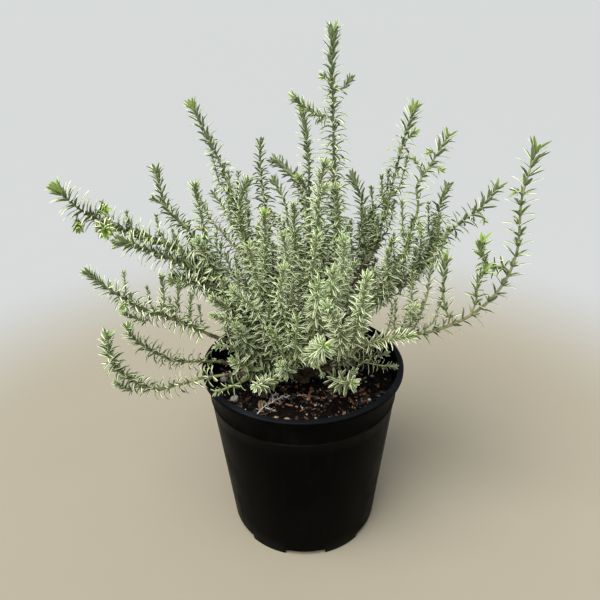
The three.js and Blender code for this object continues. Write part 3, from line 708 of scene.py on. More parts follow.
def leaf_finish():
    finish = Finish("variegated_leaf", IOR=1.45)
    sheet = finish.sheet()
    column, row, turn, along = cell_of(sheet)
    blade, below = blade_color(finish, sheet, column / (AGES - 1), row / (TONES - 1), turn, along)
    is_stem = column > STEM_COLUMN - 0.5
    rough = 0.42 + 0.3 * below * (1 - is_stem) + 0.12 * is_stem
    return finish.feed(Base_Color=finish.mix(is_stem, blade, stem_color(finish, sheet)), Roughness=rough)


LEAF_FINISH = leaf_finish()
print("leaf finish nodes:", len(LEAF_FINISH.node_tree.nodes))

# %% [markdown]
# ## The tree that sets the leaves
# On this shrub four leaves stand in a ring, and each ring is turned an eighth from the one below. Rings are
# about 4 to 10 mm apart on grown wood and crowd together at the tip, where the leaves are small and stand up.
# The tree measures each stem from its tip down, finds the rings, and sets and leans each leaf by its age.

# %% Places of the leaf rings
EACH_QUARTER, EACH_EIGHTH = math.pi / 2, math.pi / 4
CROWDING = -0.33
WEAK_LENGTH, FULL_LENGTH, WEAK_SIZE = 15 * MM, 85 * MM, 0.6


def measured(tree, inp):
    """The stems, with the length of each kept on it."""
    return capture(tree, inp["Geometry"], "CURVE", reach=tree.node("GeometryNodeSplineLength"))


def ring_points(tree, inp):
    """One point for each ring of leaves, with what its leaves need to know."""
    stems, reach = measured(tree, inp)
    count = (reach - inp["Bare length"] + inp["Tip gather"]) / inp["Ring spacing"] + 1
    rings = tree.node("GeometryNodeResampleCurve", {"Curve": stems, "Count": count}, mode="COUNT")
    stem = tree.node("GeometryNodeCurveOfPoint")
    rank = tree.node("GeometryNodeSplineLength").out("Point Count") - 1 - stem.out("Index in Curve")
    crowd = 1 - (rank * CROWDING).math("EXPONENT")
    from_tip = inp["Ring spacing"] * rank - inp["Tip gather"] * crowd + inp["First ring"]
    wanted = reach - from_tip
    radius = tree.node("GeometryNodeInputRadius")
    sockets = {"Curves": stems, "Value": radius, "Length": wanted, "Curve Index": stem}
    sample = tree.node("GeometryNodeSampleCurve", sockets, mode="LENGTH", use_all_curves=False)
    strength = tree.step(from_tip + wanted, WEAK_LENGTH, FULL_LENGTH)
    fields = {"place": sample.out("Position"), "along": sample.out("Tangent"), "side": sample.out("Normal"),
              "radius": sample, "rank": rank, "from_tip": from_tip, "wanted": wanted, "stem": stem,
              "vigour": WEAK_SIZE + strength * (1 - WEAK_SIZE)}
    kept, *wires = capture(tree, rings, "POINT", **fields)
    return tree.node("GeometryNodeCurveToPoints", [kept], mode="EVALUATED"), dict(zip(fields, wires))


def ring_turn(ring):
    """Every second ring is turned an eighth."""
    return ring["rank"].math("MODULO", 2) * EACH_EIGHTH


print("turns of the first rings in degrees:", [round(math.degrees(k % 2 * EACH_EIGHTH)) for k in range(4)])

# %% Lean and direction of each leaf, and what it must keep out of
POT_HEIGHT, LIP_RADIUS, INNER_TOP, MIX_TOP = 190, 100, 91, 165
OVER_LIP, BESIDE_LIP, INSIDE_WALL, OVER_MIX = 1.2, 0.8, 1, 2.5


def leaf_axes(tree, ring, turn, lean):
    """The way out of the stem, the leaf's own direction and its upper side."""
    across = tree.vector("CROSS_PRODUCT", ring["along"], ring["side"])
    out = tree.sum_of(ring["side"], turn.math("COSINE"), across, turn.math("SINE"))
    cosine, sine = lean.math("COSINE"), lean.math("SINE")
    axis = tree.sum_of(ring["along"], cosine, out, sine)
    return out, axis, tree.sum_of(ring["along"], sine, out, cosine * -1)


def arc_point(tree, root, axis, upper, size, bend):
    """Where an arched leaf of a size ends."""
    ahead, back = size * bend.math("SINE") / bend, size * (bend.math("COSINE") - 1) / bend
    return tree.vector("ADD", root, tree.sum_of(axis, ahead, upper, back))


def in_the_way(tree, point):
    """1 where a point is in the pot's wall or lip, or in the mix."""
    x, y, z = tree.split(point)
    reach = (x * x + y * y).math("SQRT")
    low = z < (POT_HEIGHT + OVER_LIP) * MM
    outside = reach > (LIP_RADIUS + BESIDE_LIP) * MM
    inside = (reach < (INNER_TOP - INSIDE_WALL) * MM) * (z > (MIX_TOP + OVER_MIX) * MM)
    return low * (1 - outside) * (1 - inside)


print("leaves stay", BESIDE_LIP, "mm off the lip and", OVER_MIX, "mm over the mix")

# %% What each leaf needs, by its number in the ring
# Leaves near the pot are smaller, and take the oldest, darkest column as painted shade.
LOW_HEIGHT, FREE_HEIGHT, LOW_SMALLER = 215 * MM, 320 * MM, 0.14
OLD_FROM, OLD_TO, OLDER = 50 * MM, 160 * MM, 3
GROWN_BEND = 1.3
TUFTS_FROM, TUFT_APART, TUFT_LEAN = 32 * MM, 1.1, 0.42


def low_in_shrub(tree):
    """1 near the pot and 0 in the upper half of the shrub."""
    height = tree.split(tree.node("GeometryNodeInputPosition"))[2]
    return 1 - tree.step(height, LOW_HEIGHT, FREE_HEIGHT)


def grown_leaves(tree, inp, ring, number):
    """Four leaves to a ring. They open, reach their full size and age on the way down the stem."""
    young = 1 - tree.step(ring["from_tip"], 0.0, inp["Grown at"])
    old = tree.step(ring["from_tip"], OLD_FROM, OLD_TO)
    low = low_in_shrub(tree)
    open_up = tree.step(ring["from_tip"], 0.0, inp["Open at"])
    full = tree.step(ring["from_tip"], 0.0, inp["Full size at"])
    size = inp["Tip leaf"] + (inp["Leaf length"] - inp["Tip leaf"]) * full
    size = size * ring["vigour"] * (1 - low * LOW_SMALLER)
    size = size * (1 - (ring["stem"] > 0.5) * (1 - inp["Side leaf"]))
    # Age darkens leaves far down the stem; near the pot the same darkening is painted shade, whatever their
    # age.
    age = (1 - young) * OLDER + old.math("MAXIMUM", low) * OLDER + chance(tree, inp, -0.6, 1.6, 7)
    return {"turn": number * EACH_QUARTER + ring_turn(ring) + chance(tree, inp, -0.3, 0.3, 2),
            "lean": inp["Tip lean"] + open_up * inp["Lean"] + chance(tree, inp, -0.2, 0.2, 3),
            "size": size * chance(tree, inp, 0.86, 1.1, 5),
            "bend": open_up * GROWN_BEND + chance(tree, inp, 0.2, 1.5, 11),
            "age": age.math("MAXIMUM", inp["Tip age"]),
            "drop": ring["wanted"] < inp["Bare length"]}


def tuft_leaves(tree, inp, ring, number):
    """Two small leaves in some of the angles between leaf and stem."""
    pair = (number.math("MODULO", 2) - 0.5) * TUFT_APART
    missing = chance(tree, inp, 0, 1, 12) > inp["Tuft share"]
    turn = math.floor(number / 2) * EACH_QUARTER + ring_turn(ring) + pair
    return {"turn": turn + chance(tree, inp, -0.2, 0.2, 2),
            "lean": TUFT_LEAN + chance(tree, inp, -0.2, 0.25, 3),
            "size": inp["Leaf length"] * chance(tree, inp, 0.36, 0.62, 5),
            "bend": chance(tree, inp, 0.0, 2.2, 11),
            # Near the pot the small leaves are darkened too: painted shade.
            "age": chance(tree, inp, 1.0, 4.0, 7) + low_in_shrub(tree) * OLDER,
            "drop": (ring["from_tip"] < TUFTS_FROM).math("MAXIMUM", missing)}


LEAF_KINDS = {grown_leaves: 4, tuft_leaves: 8}
print("leaves and small leaves to a ring:", list(LEAF_KINDS.values()))

# %% Shapes on points, with their cells on the sheet
ROOT_AT, MIDDLE_AT, SLIMMING = 0.8, 0.55, 0.6


def shapes_on(tree, points, shapes, pick, rotation, scale):
    """One of the shapes on each point as real mesh, and the shapes' own map."""
    info = tree.node("GeometryNodeCollectionInfo",
                     {"Collection": shapes, "Separate Children": True, "Reset Children": True})
    sockets = {"Points": points, "Instance": info, "Pick Instance": True, "Instance Index": pick,
               "Rotation": rotation, "Scale": scale}
    real = tree.node("GeometryNodeRealizeInstances", [tree.node("GeometryNodeInstanceOnPoints", sockets)])
    return real, tree.node("GeometryNodeInputNamedAttribute", ["blade"], data_type="FLOAT_VECTOR")


def mapped(tree, mesh, inner, cell, grid):
    """Writes the map of a mesh: its own map, set in its cell of the sheet."""
    inside = tree.vector("MULTIPLY_ADD", inner, (1 - 2 * INSET,) * 3, (INSET, INSET, 0.0))
    sheet = tree.vector("DIVIDE", tree.vector("ADD", inside, cell), (*grid, 1.0))
    sockets = {"Geometry": mesh, "Name": "OFBake", "Value": sheet}
    stored = tree.node("GeometryNodeStoreNamedAttribute", sockets, data_type="FLOAT2", domain="CORNER")
    return tree.node("GeometryNodeRemoveAttribute", {"Geometry": stored, "Name": "blade"})


def leaf_instances(tree, inp, kind, each):
    """Leaves of a kind at every ring, as a mesh with its map."""
    points, ring = ring_points(tree, inp)
    many = tree.node("GeometryNodeDuplicateElements", {"Geometry": points, "Amount": each}, domain="POINT")
    leaf = kind(tree, inp, ring, many.out("Duplicate Index"))
    turn = leaf["turn"] + chance(tree, inp, 0, 2 * math.pi, 1, ring["stem"])
    out, axis, upper = leaf_axes(tree, ring, turn, leaf["lean"])
    root = tree.vector("ADD", ring["place"], tree.scaled(out, ring["radius"] * ROOT_AT))
    pick = math.floor((leaf["bend"] * inp["Arch"]).within(0, len(BENDS) - 0.1))
    bend = pick * (BENDS[1] - BENDS[0]) + BENDS[0]
    tip = arc_point(tree, root, axis, upper, leaf["size"], bend)
    middle = arc_point(tree, root, axis, upper, leaf["size"] * MIDDLE_AT, bend * MIDDLE_AT)
    blocked = in_the_way(tree, tip).math("MAXIMUM", in_the_way(tree, middle))
    column = math.floor(leaf["age"].within(0, AGES - 1))
    tone = inp["Greenness"] * (TONES - 1) + chance(tree, inp, -1.2, 1.7, 9)
    row = math.floor(tone.within(0, TONES - 1))
    placed = tree.node("GeometryNodeSetPosition", {"Geometry": many, "Position": root})
    held, axis, upper, size, column, row, pick, drop = capture(
        tree, placed, "POINT", axis=axis, upper=upper, size=leaf["size"], column=column, row=row, pick=pick,
        drop=leaf["drop"] + blocked)
    fit = tree.node("GeometryNodeDeleteGeometry", [held, drop], domain="POINT")
    turned = tree.node("FunctionNodeAxesToRotation", [axis, upper], primary_axis="Z", secondary_axis="Y")
    # A short leaf is slimmer too, but by less than it is shorter.
    width = inp["Leaf width"] * (size / inp["Leaf length"]).math("POWER", SLIMMING)
    leaves, blade = shapes_on(tree, fit, inp["Leaf shapes"], pick, turned, tree.join(width, size, size))
    return mapped(tree, leaves, blade, tree.join(column, row, 0.0), SHEET)


print("a leaf's own map fills", round((1 - 2 * INSET) ** 2, 2), "of its cell")

# %% Stems between the leaves
STEM_STEP, STEM_SIDE, STEM_BLUNT, STEM_CORNERS = 4 * MM, 1.7, 0.45, 8


def stem_meshes(tree, inp):
    """A tapered stem with four blunt edges, whose map runs from the tip down the sheet's last column."""
    stems, reach = measured(tree, inp)
    fine = tree.node("GeometryNodeResampleCurve", {"Curve": stems, "Length": STEM_STEP}, mode="LENGTH")
    down = reach - tree.node("GeometryNodeSplineParameter").out("Length")
    fine, down = capture(tree, fine, "POINT", down=down)
    square = tree.node("GeometryNodeCurvePrimitiveQuadrilateral", {"Width": STEM_SIDE, "Height": STEM_SIDE})
    blunt = tree.node("GeometryNodeFilletCurve", {"Curve": square, "Radius": STEM_BLUNT}, mode="BEZIER")
    ring = tree.node("GeometryNodeResampleCurve", {"Curve": blunt, "Count": STEM_CORNERS}, mode="COUNT")
    ring, around = capture(tree, ring, "POINT", around=tree.node("GeometryNodeSplineParameter"))
    stem = tube(tree, fine, ring, tree.node("GeometryNodeInputRadius"))
    share = (down / inp["Stem turns brown"]).math("MINIMUM", 1) * TONES
    inner = tree.join(abs(around * 2 - 1), share, 0.0)
    return mapped(tree, stem, inner, (float(STEM_COLUMN), 0.0, 0.0), SHEET)


print("a stem is", STEM_SIDE, "times its radius across, from one flat side to the other")

# %% The whole leafy tree, with its usual sizes
LENGTHS = {"Ring spacing": 4.1, "First ring": 1.2, "Tip gather": 11, "Bare length": 8, "Grown at": 16,
           "Full size at": 100, "Open at": 45, "Leaf length": 16.5, "Tip leaf": 8.5, "Leaf width": 2.8,
           "Stem turns brown": 260}
SHARES = {"Tip lean": 0.5, "Lean": 0.6, "Tip age": 2.2, "Arch": 1.15, "Greenness": 0.45, "Side leaf": 1.0,
          "Tuft share": 0.08}


def leafy_growth():
    usual = {**{label: length * MM for label, length in LENGTHS.items()}, **SHARES, "Seed": 1}
    tree, inp = new_growth("leafy_shoots", {"Leaf shapes": "Collection", "Leaf finish": "Material", **usual})
    parts = [leaf_instances(tree, inp, kind, each) for kind, each in LEAF_KINDS.items()]
    joined = tree.node("GeometryNodeJoinGeometry", {0: [*parts, stem_meshes(tree, inp)]})
    return close_growth(tree, tree.node("GeometryNodeSetShadeSmooth", [joined]), inp["Leaf finish"])


LEAFY = leafy_growth()
print("leafy tree:", len(LEAFY.nodes), "nodes")

# %% Habits of the shoots
def habit(base=None, **sizes):
    """Where a kind of shoot differs from a base, or from the usual sizes. Lengths are in millimetres."""
    own = {name: size * MM if name.replace("_", " ") in LENGTHS else size for name, size in sizes.items()}
    return {**(base or {}), **own}


# Greenness is partly the shoot's own and partly painted light: greener, darker rows for shoots in shade, low
# down or against the bright wall, and paler rows for sunlit ones.
LEFT_BOUGH = habit(Leaf_length=17.5, Leaf_width=5.2, Tuft_share=0.5, Tip_leaf=13, Full_size_at=20,
                   Ring_spacing=4.2, Tip_gather=14, Open_at=18, Tip_lean=0.45, Arch=0.7, Greenness=0.5)
GREY_BOUGH = habit(Leaf_length=15, Leaf_width=3.9, Tuft_share=0.25, Full_size_at=45, Ring_spacing=3.9,
                   Tip_lean=0.4, Greenness=0.5)
HOOKED_BOUGH = habit(Leaf_length=14, Leaf_width=3.8, Tuft_share=0.2, Tip_leaf=10, Full_size_at=40,
                     Ring_spacing=4.4, Greenness=0.6)
RIGHT_BOUGH = habit(Leaf_width=3.9, Ring_spacing=9.8, Tip_leaf=15, Full_size_at=30, Tip_lean=0.6, Lean=0.25,
                    Arch=0.6, Tuft_share=0.4, Tip_gather=22, Side_leaf=0.85, Greenness=1.05)
SLENDER_BOUGH = habit(Leaf_length=14.5, Leaf_width=3.5, Ring_spacing=5.6, Tip_leaf=10, Full_size_at=30,
                      Tip_lean=0.65, Lean=0.35, Arch=0.8, Side_leaf=0.9, Greenness=0.95)
UPPER_SHOOT = habit(Leaf_width=3.7, Tip_leaf=10.5, Ring_spacing=3.9, Full_size_at=120, Open_at=80, Lean=0.52,
                    Tuft_share=0.2, Greenness=0.9)
# Upper shoots on the sunlit left, paler than the rest: painted light.
SUNLIT_PAINTED_SHOOT = habit(UPPER_SHOOT, Greenness=0.45)
BROAD_SHOOT = habit(UPPER_SHOOT, Leaf_width=3.4, Tip_leaf=13, Ring_spacing=4.6, Full_size_at=60, Open_at=45)
SLIM_SHOOT = habit(Leaf_length=12.5, Leaf_width=3.2, Tip_leaf=8, Ring_spacing=4, Full_size_at=60, Open_at=50,
                   Lean=0.5, Greenness=0.55)
THIN_SHOOT = habit(SLIM_SHOOT, Leaf_length=11, Leaf_width=2.8, Ring_spacing=5.5, Greenness=0.8)
LOW_SHOOT = habit(Leaf_length=14.5, Leaf_width=2.9, Tuft_share=0.05, Tip_leaf=8, Full_size_at=30,
                  Ring_spacing=7.6, Open_at=30, Bare_length=28, Greenness=0.65)
SHADED_SHOOT = habit(LOW_SHOOT, Leaf_width=2.6, Ring_spacing=9, Greenness=1.1)
PALE_SHOOT = habit(Leaf_length=14, Leaf_width=2.9, Tip_leaf=9, Full_size_at=35, Ring_spacing=4.4, Open_at=60,
                   Lean=0.3, Bare_length=25, Greenness=0.3)
ROSETTE = habit(Leaf_length=15, Leaf_width=3.5, Tip_leaf=8, Full_size_at=14, Ring_spacing=6.5, Open_at=12,
                Lean=0.8, Arch=0.5, Tuft_share=0.0, Bare_length=20, Greenness=0.75)
PALE_ROSETTE = habit(ROSETTE, Leaf_length=12, Leaf_width=2.7, Tip_leaf=6, Ring_spacing=5.5, Greenness=0.8)
CREAM_ROSETTE = habit(PALE_ROSETTE, Leaf_length=13, Leaf_width=3.4, Greenness=0.05)
print("the left bough's leaves in metres:", LEFT_BOUGH["Leaf_length"], "by", LEFT_BOUGH["Leaf_width"])

# %% Which shoot has which habit
OWN_HABITS = [
    (LEFT_BOUGH, "left_high left_front_high left_inner"),
    (GREY_BOUGH, "left_middle left_front_pair right_inner"),
    (HOOKED_BOUGH, "left_low left_rim"),
    (RIGHT_BOUGH, "right_long"),
    (SLENDER_BOUGH, "right_high upper_right_forked"),
    (SUNLIT_PAINTED_SHOOT, "left_upright upper_left"),
    (BROAD_SHOOT, "upper_right"),
    (SLIM_SHOOT, "left_inner_upright inner_left_bright centre_left centre_left_small centre_left_front "
                 "centre_front centre_bright"),
    (THIN_SHOOT, "back_left_inner back_left_low back_middle_left"),
    (SHADED_SHOOT, "front_left_curved"),
    (PALE_SHOOT, "front_right_tall front_right_leaning front_right_rim"),
    (ROSETTE, "left_front_short front_left_pale front_right_low"),
    (PALE_ROSETTE, "front_reaching"),
    (CREAM_ROSETTE, "front_left_low"),
]
TIPS = [
    (habit(Tip_age=0.2, Grown_at=9),
     "left_high right_high upper_right_forked inner_left_bright front_reaching right_low_upright"),
    (habit(Tip_age=1.0, Grown_at=9), "upper_left upper_right right_long centre_tall"),
]
HABIT_OF, TIP_OF = [{name: own for own, names in table for name in names.split()}
                    for table in (OWN_HABITS, TIPS)]
print("shoots with a habit of their own:", len(HABIT_OF), "with bright tips:", len(TIP_OF))

# %% Grow every shoot
MAIN_RADII, RIGHT_RADII, SIDE_RADII, SHORT_RADII = (1.5, 0.75), (1.8, 1.0), (1.05, 0.7), (0.85, 0.6)
LOW_TIP, FRONT_TIP, LEFT_TIP, HIGH_TIP = 235, -60, -15, 345


def grow_shoots(seed, name, lines, radii, sizes, finish=LEAF_FINISH):
    curve = curve_of("lines_" + name, lines, radii)
    return grown(curve, LEAFY, name, Leaf_shapes=leaf_shapes, Leaf_finish=finish, Seed=seed, **sizes)


def habit_by_tip(x, y, z):
    """The habit of a shoot without one of its own, by where its tip is."""
    if z < LOW_TIP or y < FRONT_TIP:
        return SHADED_SHOOT if x < LEFT_TIP else LOW_SHOOT
    return UPPER_SHOOT if z > HIGH_TIP else {}


def add_shoots():
    made = []
    for number, (name, lines) in enumerate(LINES.items()):
        sizes = HABIT_OF.get(name) or habit_by_tip(*lines[0][-1])
        main = RIGHT_RADII if sizes is RIGHT_BOUGH else MAIN_RADII
        radii = [main] + [SIDE_RADII] * (len(lines) - 1)
        shoot = grow_shoots(number * 20, "leafy_" + name, lines, radii, {**sizes, **TIP_OF.get(name, {})})
        made.append(place_piece(shoot, "leaves", "spray_" + name))
    return made


shoots = add_shoots()
print("shoots:", len(shoots), "triangles:", sum(map(triangles, shoots)),
      "most in one:", max(map(triangles, shoots)))

# %% [markdown]
# The shoots listed one by one are the ones that the eye can follow. Between them, along the stems, short side
# shoots close the shrub. A rule sets these: each is turned by the golden angle from the last and soon grows
# upright. None may touch the pot. They stand in the dense middle of the shrub, and anywhere along the left
# boughs and the foot of the upright shoots.

# %% Short side shoots by rule
GOLDEN = math.radians(137.5)
LEAVES_ALONG, LEAVES_OUT, LEAVES_UP = 0.45, 0.6, 0.35
BENDS_AT, KEEPS_COURSE = 0.3, 0.35
UPRIGHT = Vector((0, 0.05, 1))
DENSE_MIDDLE, DENSE_REACH = Vector((14, 18, 276)), Vector((122, 64, 64))


def in_pot_wall(point):
    reach = math.hypot(point[0], point[1])
    low, below_mix = point[2] < POT_HEIGHT + 2, point[2] < MIX_TOP + 4
    return low and reach < LIP_RADIUS + 2 and (reach > INNER_TOP - 2.5 or below_mix)


def in_dense_middle(point):
    return sum(((p - m) / r) ** 2 for p, m, r in zip(point, DENSE_MIDDLE, DENSE_REACH)) < 1


def short_shoots(lines, first, last, gap, lengths, rng, anywhere=False):
    """Lines of short shoots on the stretch of each line between two shares of it."""
    made = []
    for line in lines:
        length = runs_of(line).sum()
        spin = rng.random() * 2 * math.pi
        for at in np.arange(first * length, last * length, gap):
            spin += GOLDEN
            start, along = at_share(line, at / length)
            along = Vector(along)
            out = Matrix.Rotation(spin, 3, along) @ along.orthogonal().normalized()
            long = lengths[0] + (lengths[1] - lengths[0]) * rng.random()
            leave = (along * LEAVES_ALONG + out * LEAVES_OUT + Vector((0, 0, LEAVES_UP))).normalized()
            arrive = (leave * KEEPS_COURSE + UPRIGHT).normalized()
            bend = Vector(start) + leave * long * BENDS_AT
            twig = through([start, bend, bend + arrive * long * (1 - BENDS_AT)], 8)
            if (anywhere or in_dense_middle(twig[-1])) and not any(map(in_pot_wall, twig)):
                made.append(twig)
    return made


print("the dense middle is", [round(2 * r) for r in DENSE_REACH], "mm across")

# %% Lines of all short shoots
# Two on the left bough, two that lean on the mix inside the pot's right wall, two that droop over it on the
# left and four that stand at the foot of the long right bough.
EXTRA_LINES = [
    [(-78, 8, 272), (-92, -14, 283), (-104, -26, 290), (-115, -32, 295)],
    [(-84, 12, 280), (-92, 6, 300), (-100, 0, 316)],
    [(30, -4, 192), (52, -20, 200), (74, -28, 200), (88, -27, 198)],
    [(24, 2, 186), (46, -4, 195), (68, -9, 198), (82, -12, 203)],
    [(-20, -14, 188), (-44, -30, 214), (-64, -42, 231), (-77, -50, 238)],
    [(-26, -18, 194), (-48, -32, 226), (-55, -46, 248), (-58, -56, 262)],
    [(78, -11, 216), (84, -4, 231), (88, 8, 247)],
    [(88, -13, 220), (97, -7, 234), (103, 4, 247)],
    [(99, -14, 225), (110, -11, 238), (116, 0, 254)],
    [(112, -14, 227), (124, -14, 240), (129, -8, 256)],
]
BOUGHS = "left_high left_middle left_front_high".split()
UPRIGHTS = "upper_right upper_right_forked right_inner upper_left right_high centre_right".split()
SHORT_SHOOT = habit(Leaf_length=16, Tip_leaf=6.5, Full_size_at=40, Open_at=35, Bare_length=4, Tip_gather=14)
SHORT_HABITS = {
    # The left ones are greener and darker: painted shade.
    "left": habit(SHORT_SHOOT, Leaf_width=2.8, Ring_spacing=5.2, Greenness=0.8),
    "middle": habit(SHORT_SHOOT, Leaf_width=2.8, Ring_spacing=4.7, Greenness=0.5),
    "right": habit(SHORT_SHOOT, Leaf_width=3.3, Ring_spacing=4.8, Greenness=0.85),
}


def short_lines():
    """Every short shoot's line, from left to right, with the ends of the limbs among them."""
    rng = np.random.default_rng(4)
    made = short_shoots(limb_lines, 0.6, 1.0, 22, (45, 70), rng)
    made += short_shoots([lines[0] for lines in LINES.values()], 0.08, 0.75, 24, (36, 60), rng)
    made += short_shoots([LINES[name][0] for name in BOUGHS], 0.06, 0.7, 15, (20, 30), rng, anywhere=True)
    made += short_shoots([LINES[name][0] for name in UPRIGHTS], 0.05, 0.46, 8, (30, 44), rng, anywhere=True)
    made += [line[len(line) * 6 // 10:] for line in limb_lines] + [through(points) for points in EXTRA_LINES]
    return sorted(made, key=lambda line: line[-1][0])


def add_short_shoots(lines):
    pieces = []
    for k, (side, sizes) in enumerate(SHORT_HABITS.items()):
        own = lines[k * len(lines) // 3:(k + 1) * len(lines) // 3]
        piece = grow_shoots((100 + k) * 20, "short_shoots_" + side, own, [SHORT_RADII] * len(own), sizes)
        pieces.append(place_piece(piece, "leaves"))
    return pieces


short = short_lines()
print("short shoots:", len(short), "triangles:", [triangles(p) for p in add_short_shoots(short)])

# %% [markdown]
# ## The nursery pot
# The pot is thin moulded plastic, turned about one axis: a rolled lip, a fine ridge where a stack of pots
# rests, a tapering wall and a raised floor. Such a body is quickest as a profile that is turned about Z. Six
# notches at its foot and six holes in its floor are cut out afterwards. The notches have soft upper corners.

# %% Pot profile
LIP_DEPTH, WALL_TOP, BASE_RADIUS, WALL = 5.4, 95.7, 76.7, 2.2
RIDGE_AT, FLOOR_AT, FLOOR_TOP = 159.2, 6.5, 8.7
LIP_AT = POT_HEIGHT - LIP_DEPTH
RIDGE = ((-1.1, 0), (-0.6, 0.35), (-0.1, 0.65), (0.2, 0.65), (0.6, 0.3), (1.1, 0))


def wall_radius(z):
    return BASE_RADIUS + (WALL_TOP - BASE_RADIUS) * z / LIP_AT


def arc(x, z, radius, start, end, steps=5):
    """Points of a round corner about (x, z), in degrees."""
    turns = [math.radians(start + (end - start) * k / steps) for k in range(steps + 1)]
    return [(x + radius * math.cos(a), z + radius * math.sin(a)) for a in turns]


def pot_profile():
    """From the middle of the underside, out, up the wall, over the lip and down the inside."""
    inner_foot = wall_radius(0) - WALL
    return [(0, FLOOR_AT), (wall_radius(FLOOR_AT) - WALL - 0.3, FLOOR_AT), (inner_foot, 0.5),
            (inner_foot + 0.5, 0), (BASE_RADIUS - 0.5, 0),
            *[(wall_radius(z), z) for z in (0.9, 20, 45, 70, 95, 120, 145)],
            *[(wall_radius(RIDGE_AT + up) + out, RIDGE_AT + up) for up, out in RIDGE],
            (wall_radius(172), 172), *arc(WALL_TOP + 0.6, LIP_AT - 0.6, 0.6, 180, 90, 3),
            *arc(LIP_RADIUS - 0.8, LIP_AT + 0.8, 0.8, 270, 360),
            *arc(LIP_RADIUS - 1.8, POT_HEIGHT - 1.8, 1.8, 0, 90),
            *arc(wall_radius(POT_HEIGHT) - WALL + 1.6, POT_HEIGHT - 1.6, 1.6, 90, 180),
            *[(wall_radius(z) - WALL, z) for z in (184, 160, 120, 80, 40, FLOOR_TOP + 3)],
            *arc(wall_radius(FLOOR_TOP) - WALL - 2.2, FLOOR_TOP + 2, 2, 0, -90), (0, FLOOR_TOP)]


print("pot profile:", len(pot_profile()), "points")

# %% Turning a profile and cutting it
POT_SIDES, SHARP_FROM = 168, math.radians(38)
NOTCHES, NOTCH_HALF, NOTCH_ROUND = 6, 20.5, 2
NOTCH_BOTTOM, NOTCH_TOP, NOTCH_FRONT, NOTCH_BACK = -4, 6, -90, -66
HOLE_AT, HOLE_RADIUS, HOLE_DEPTH = Vector((0, -58, 7.6)), 5, 8


def turned_body(name, profile, sides):
    """A closed body turned about Z: each ring's radius and its height, which may be a rule of x and y."""
    work = bmesh.new()
    rings = []
    for radius, height in profile:
        turns = [2 * math.pi * k / sides for k in range(sides if radius else 1)]
        spots = [(radius * math.sin(a), -radius * math.cos(a)) for a in turns]
        rings.append([work.verts.new((x * MM, y * MM, (height(x, y) if callable(height) else height) * MM))
                      for x, y in spots])
    for upper, lower in zip(rings, rings[1:]):
        for k in range(sides):
            a, b = upper[k % len(upper)], upper[(k + 1) % len(upper)]
            c, d = lower[(k + 1) % len(lower)], lower[k % len(lower)]
            work.faces.new(list(dict.fromkeys([a, d, c, b])))
    bmesh.ops.recalc_face_normals(work, faces=work.faces)
    return smooth_object(name, work)


def pot_cutters():
    """A block with soft upper corners for each notch, and a drum for each drain hole."""
    work = bmesh.new()
    side, top = NOTCH_HALF - NOTCH_ROUND, NOTCH_TOP - NOTCH_ROUND
    outline = [(-NOTCH_HALF, NOTCH_BOTTOM), (NOTCH_HALF, NOTCH_BOTTOM),
               *arc(side, top, NOTCH_ROUND, 0, 90), *arc(-side, top, NOTCH_ROUND, 90, 180)]
    for k in range(NOTCHES):
        spin = Matrix.Rotation(k * 2 * math.pi / NOTCHES, 4, "Z")
        near, away = [[work.verts.new(spin @ Vector((x, y, z)) * MM) for x, z in outline]
                      for y in (NOTCH_FRONT, NOTCH_BACK)]
        work.faces.new(near)
        work.faces.new(away[::-1])
        for a in range(len(outline)):
            b = (a + 1) % len(outline)
            work.faces.new([near[b], near[a], away[a], away[b]])
        bmesh.ops.create_cone(work, cap_ends=True, segments=28, radius1=HOLE_RADIUS * MM,
                              radius2=HOLE_RADIUS * MM, depth=HOLE_DEPTH * MM,
                              matrix=spin @ Matrix.Translation(HOLE_AT * MM))
    bmesh.ops.recalc_face_normals(work, faces=work.faces)
    return smooth_object("pot_cutters", work)


def cut_pot():
    pot, cutters = turned_body("nursery_pot", pot_profile(), POT_SIDES), pot_cutters()
    cut = pot.modifiers.new("notches", "BOOLEAN")
    cut.object = cutters
    cut.operation = "DIFFERENCE"
    cut.solver = "EXACT"
    mesh = plain_mesh(pot)
    pot.modifiers.clear()
    pot.data = mesh
    bpy.data.objects.remove(cutters)
    mesh.set_sharp_from_angle(angle=SHARP_FROM)
    mesh.materials.clear()
    return pot


pot = cut_pot()
print("pot triangles:", triangles(pot))

# %% [markdown]
# The plastic is black with a soft shine. Handling and rain leave a thin brown-grey film in streaks down the
# wall, heavier low down. A faint painted highlight runs along the ridge and a bluish one along the lip's top.
# A grain of bump keeps the wall from looking polished.

# %% Black plastic finish
BLACK, FILM = (0.0008, 0.0008, 0.0008), (0.0038, 0.0035, 0.0029)
# Painted highlights: a faint light line on the ridge and a bluish line, the sky's reflection, on the lip's
# top.
RIDGE_PAINTED_HIGHLIGHT, LIP_PAINTED_HIGHLIGHT, SPECK = (0.018, 0.017, 0.015), (0.014, 0.017, 0.020), (0.12, 0.11, 0.10)


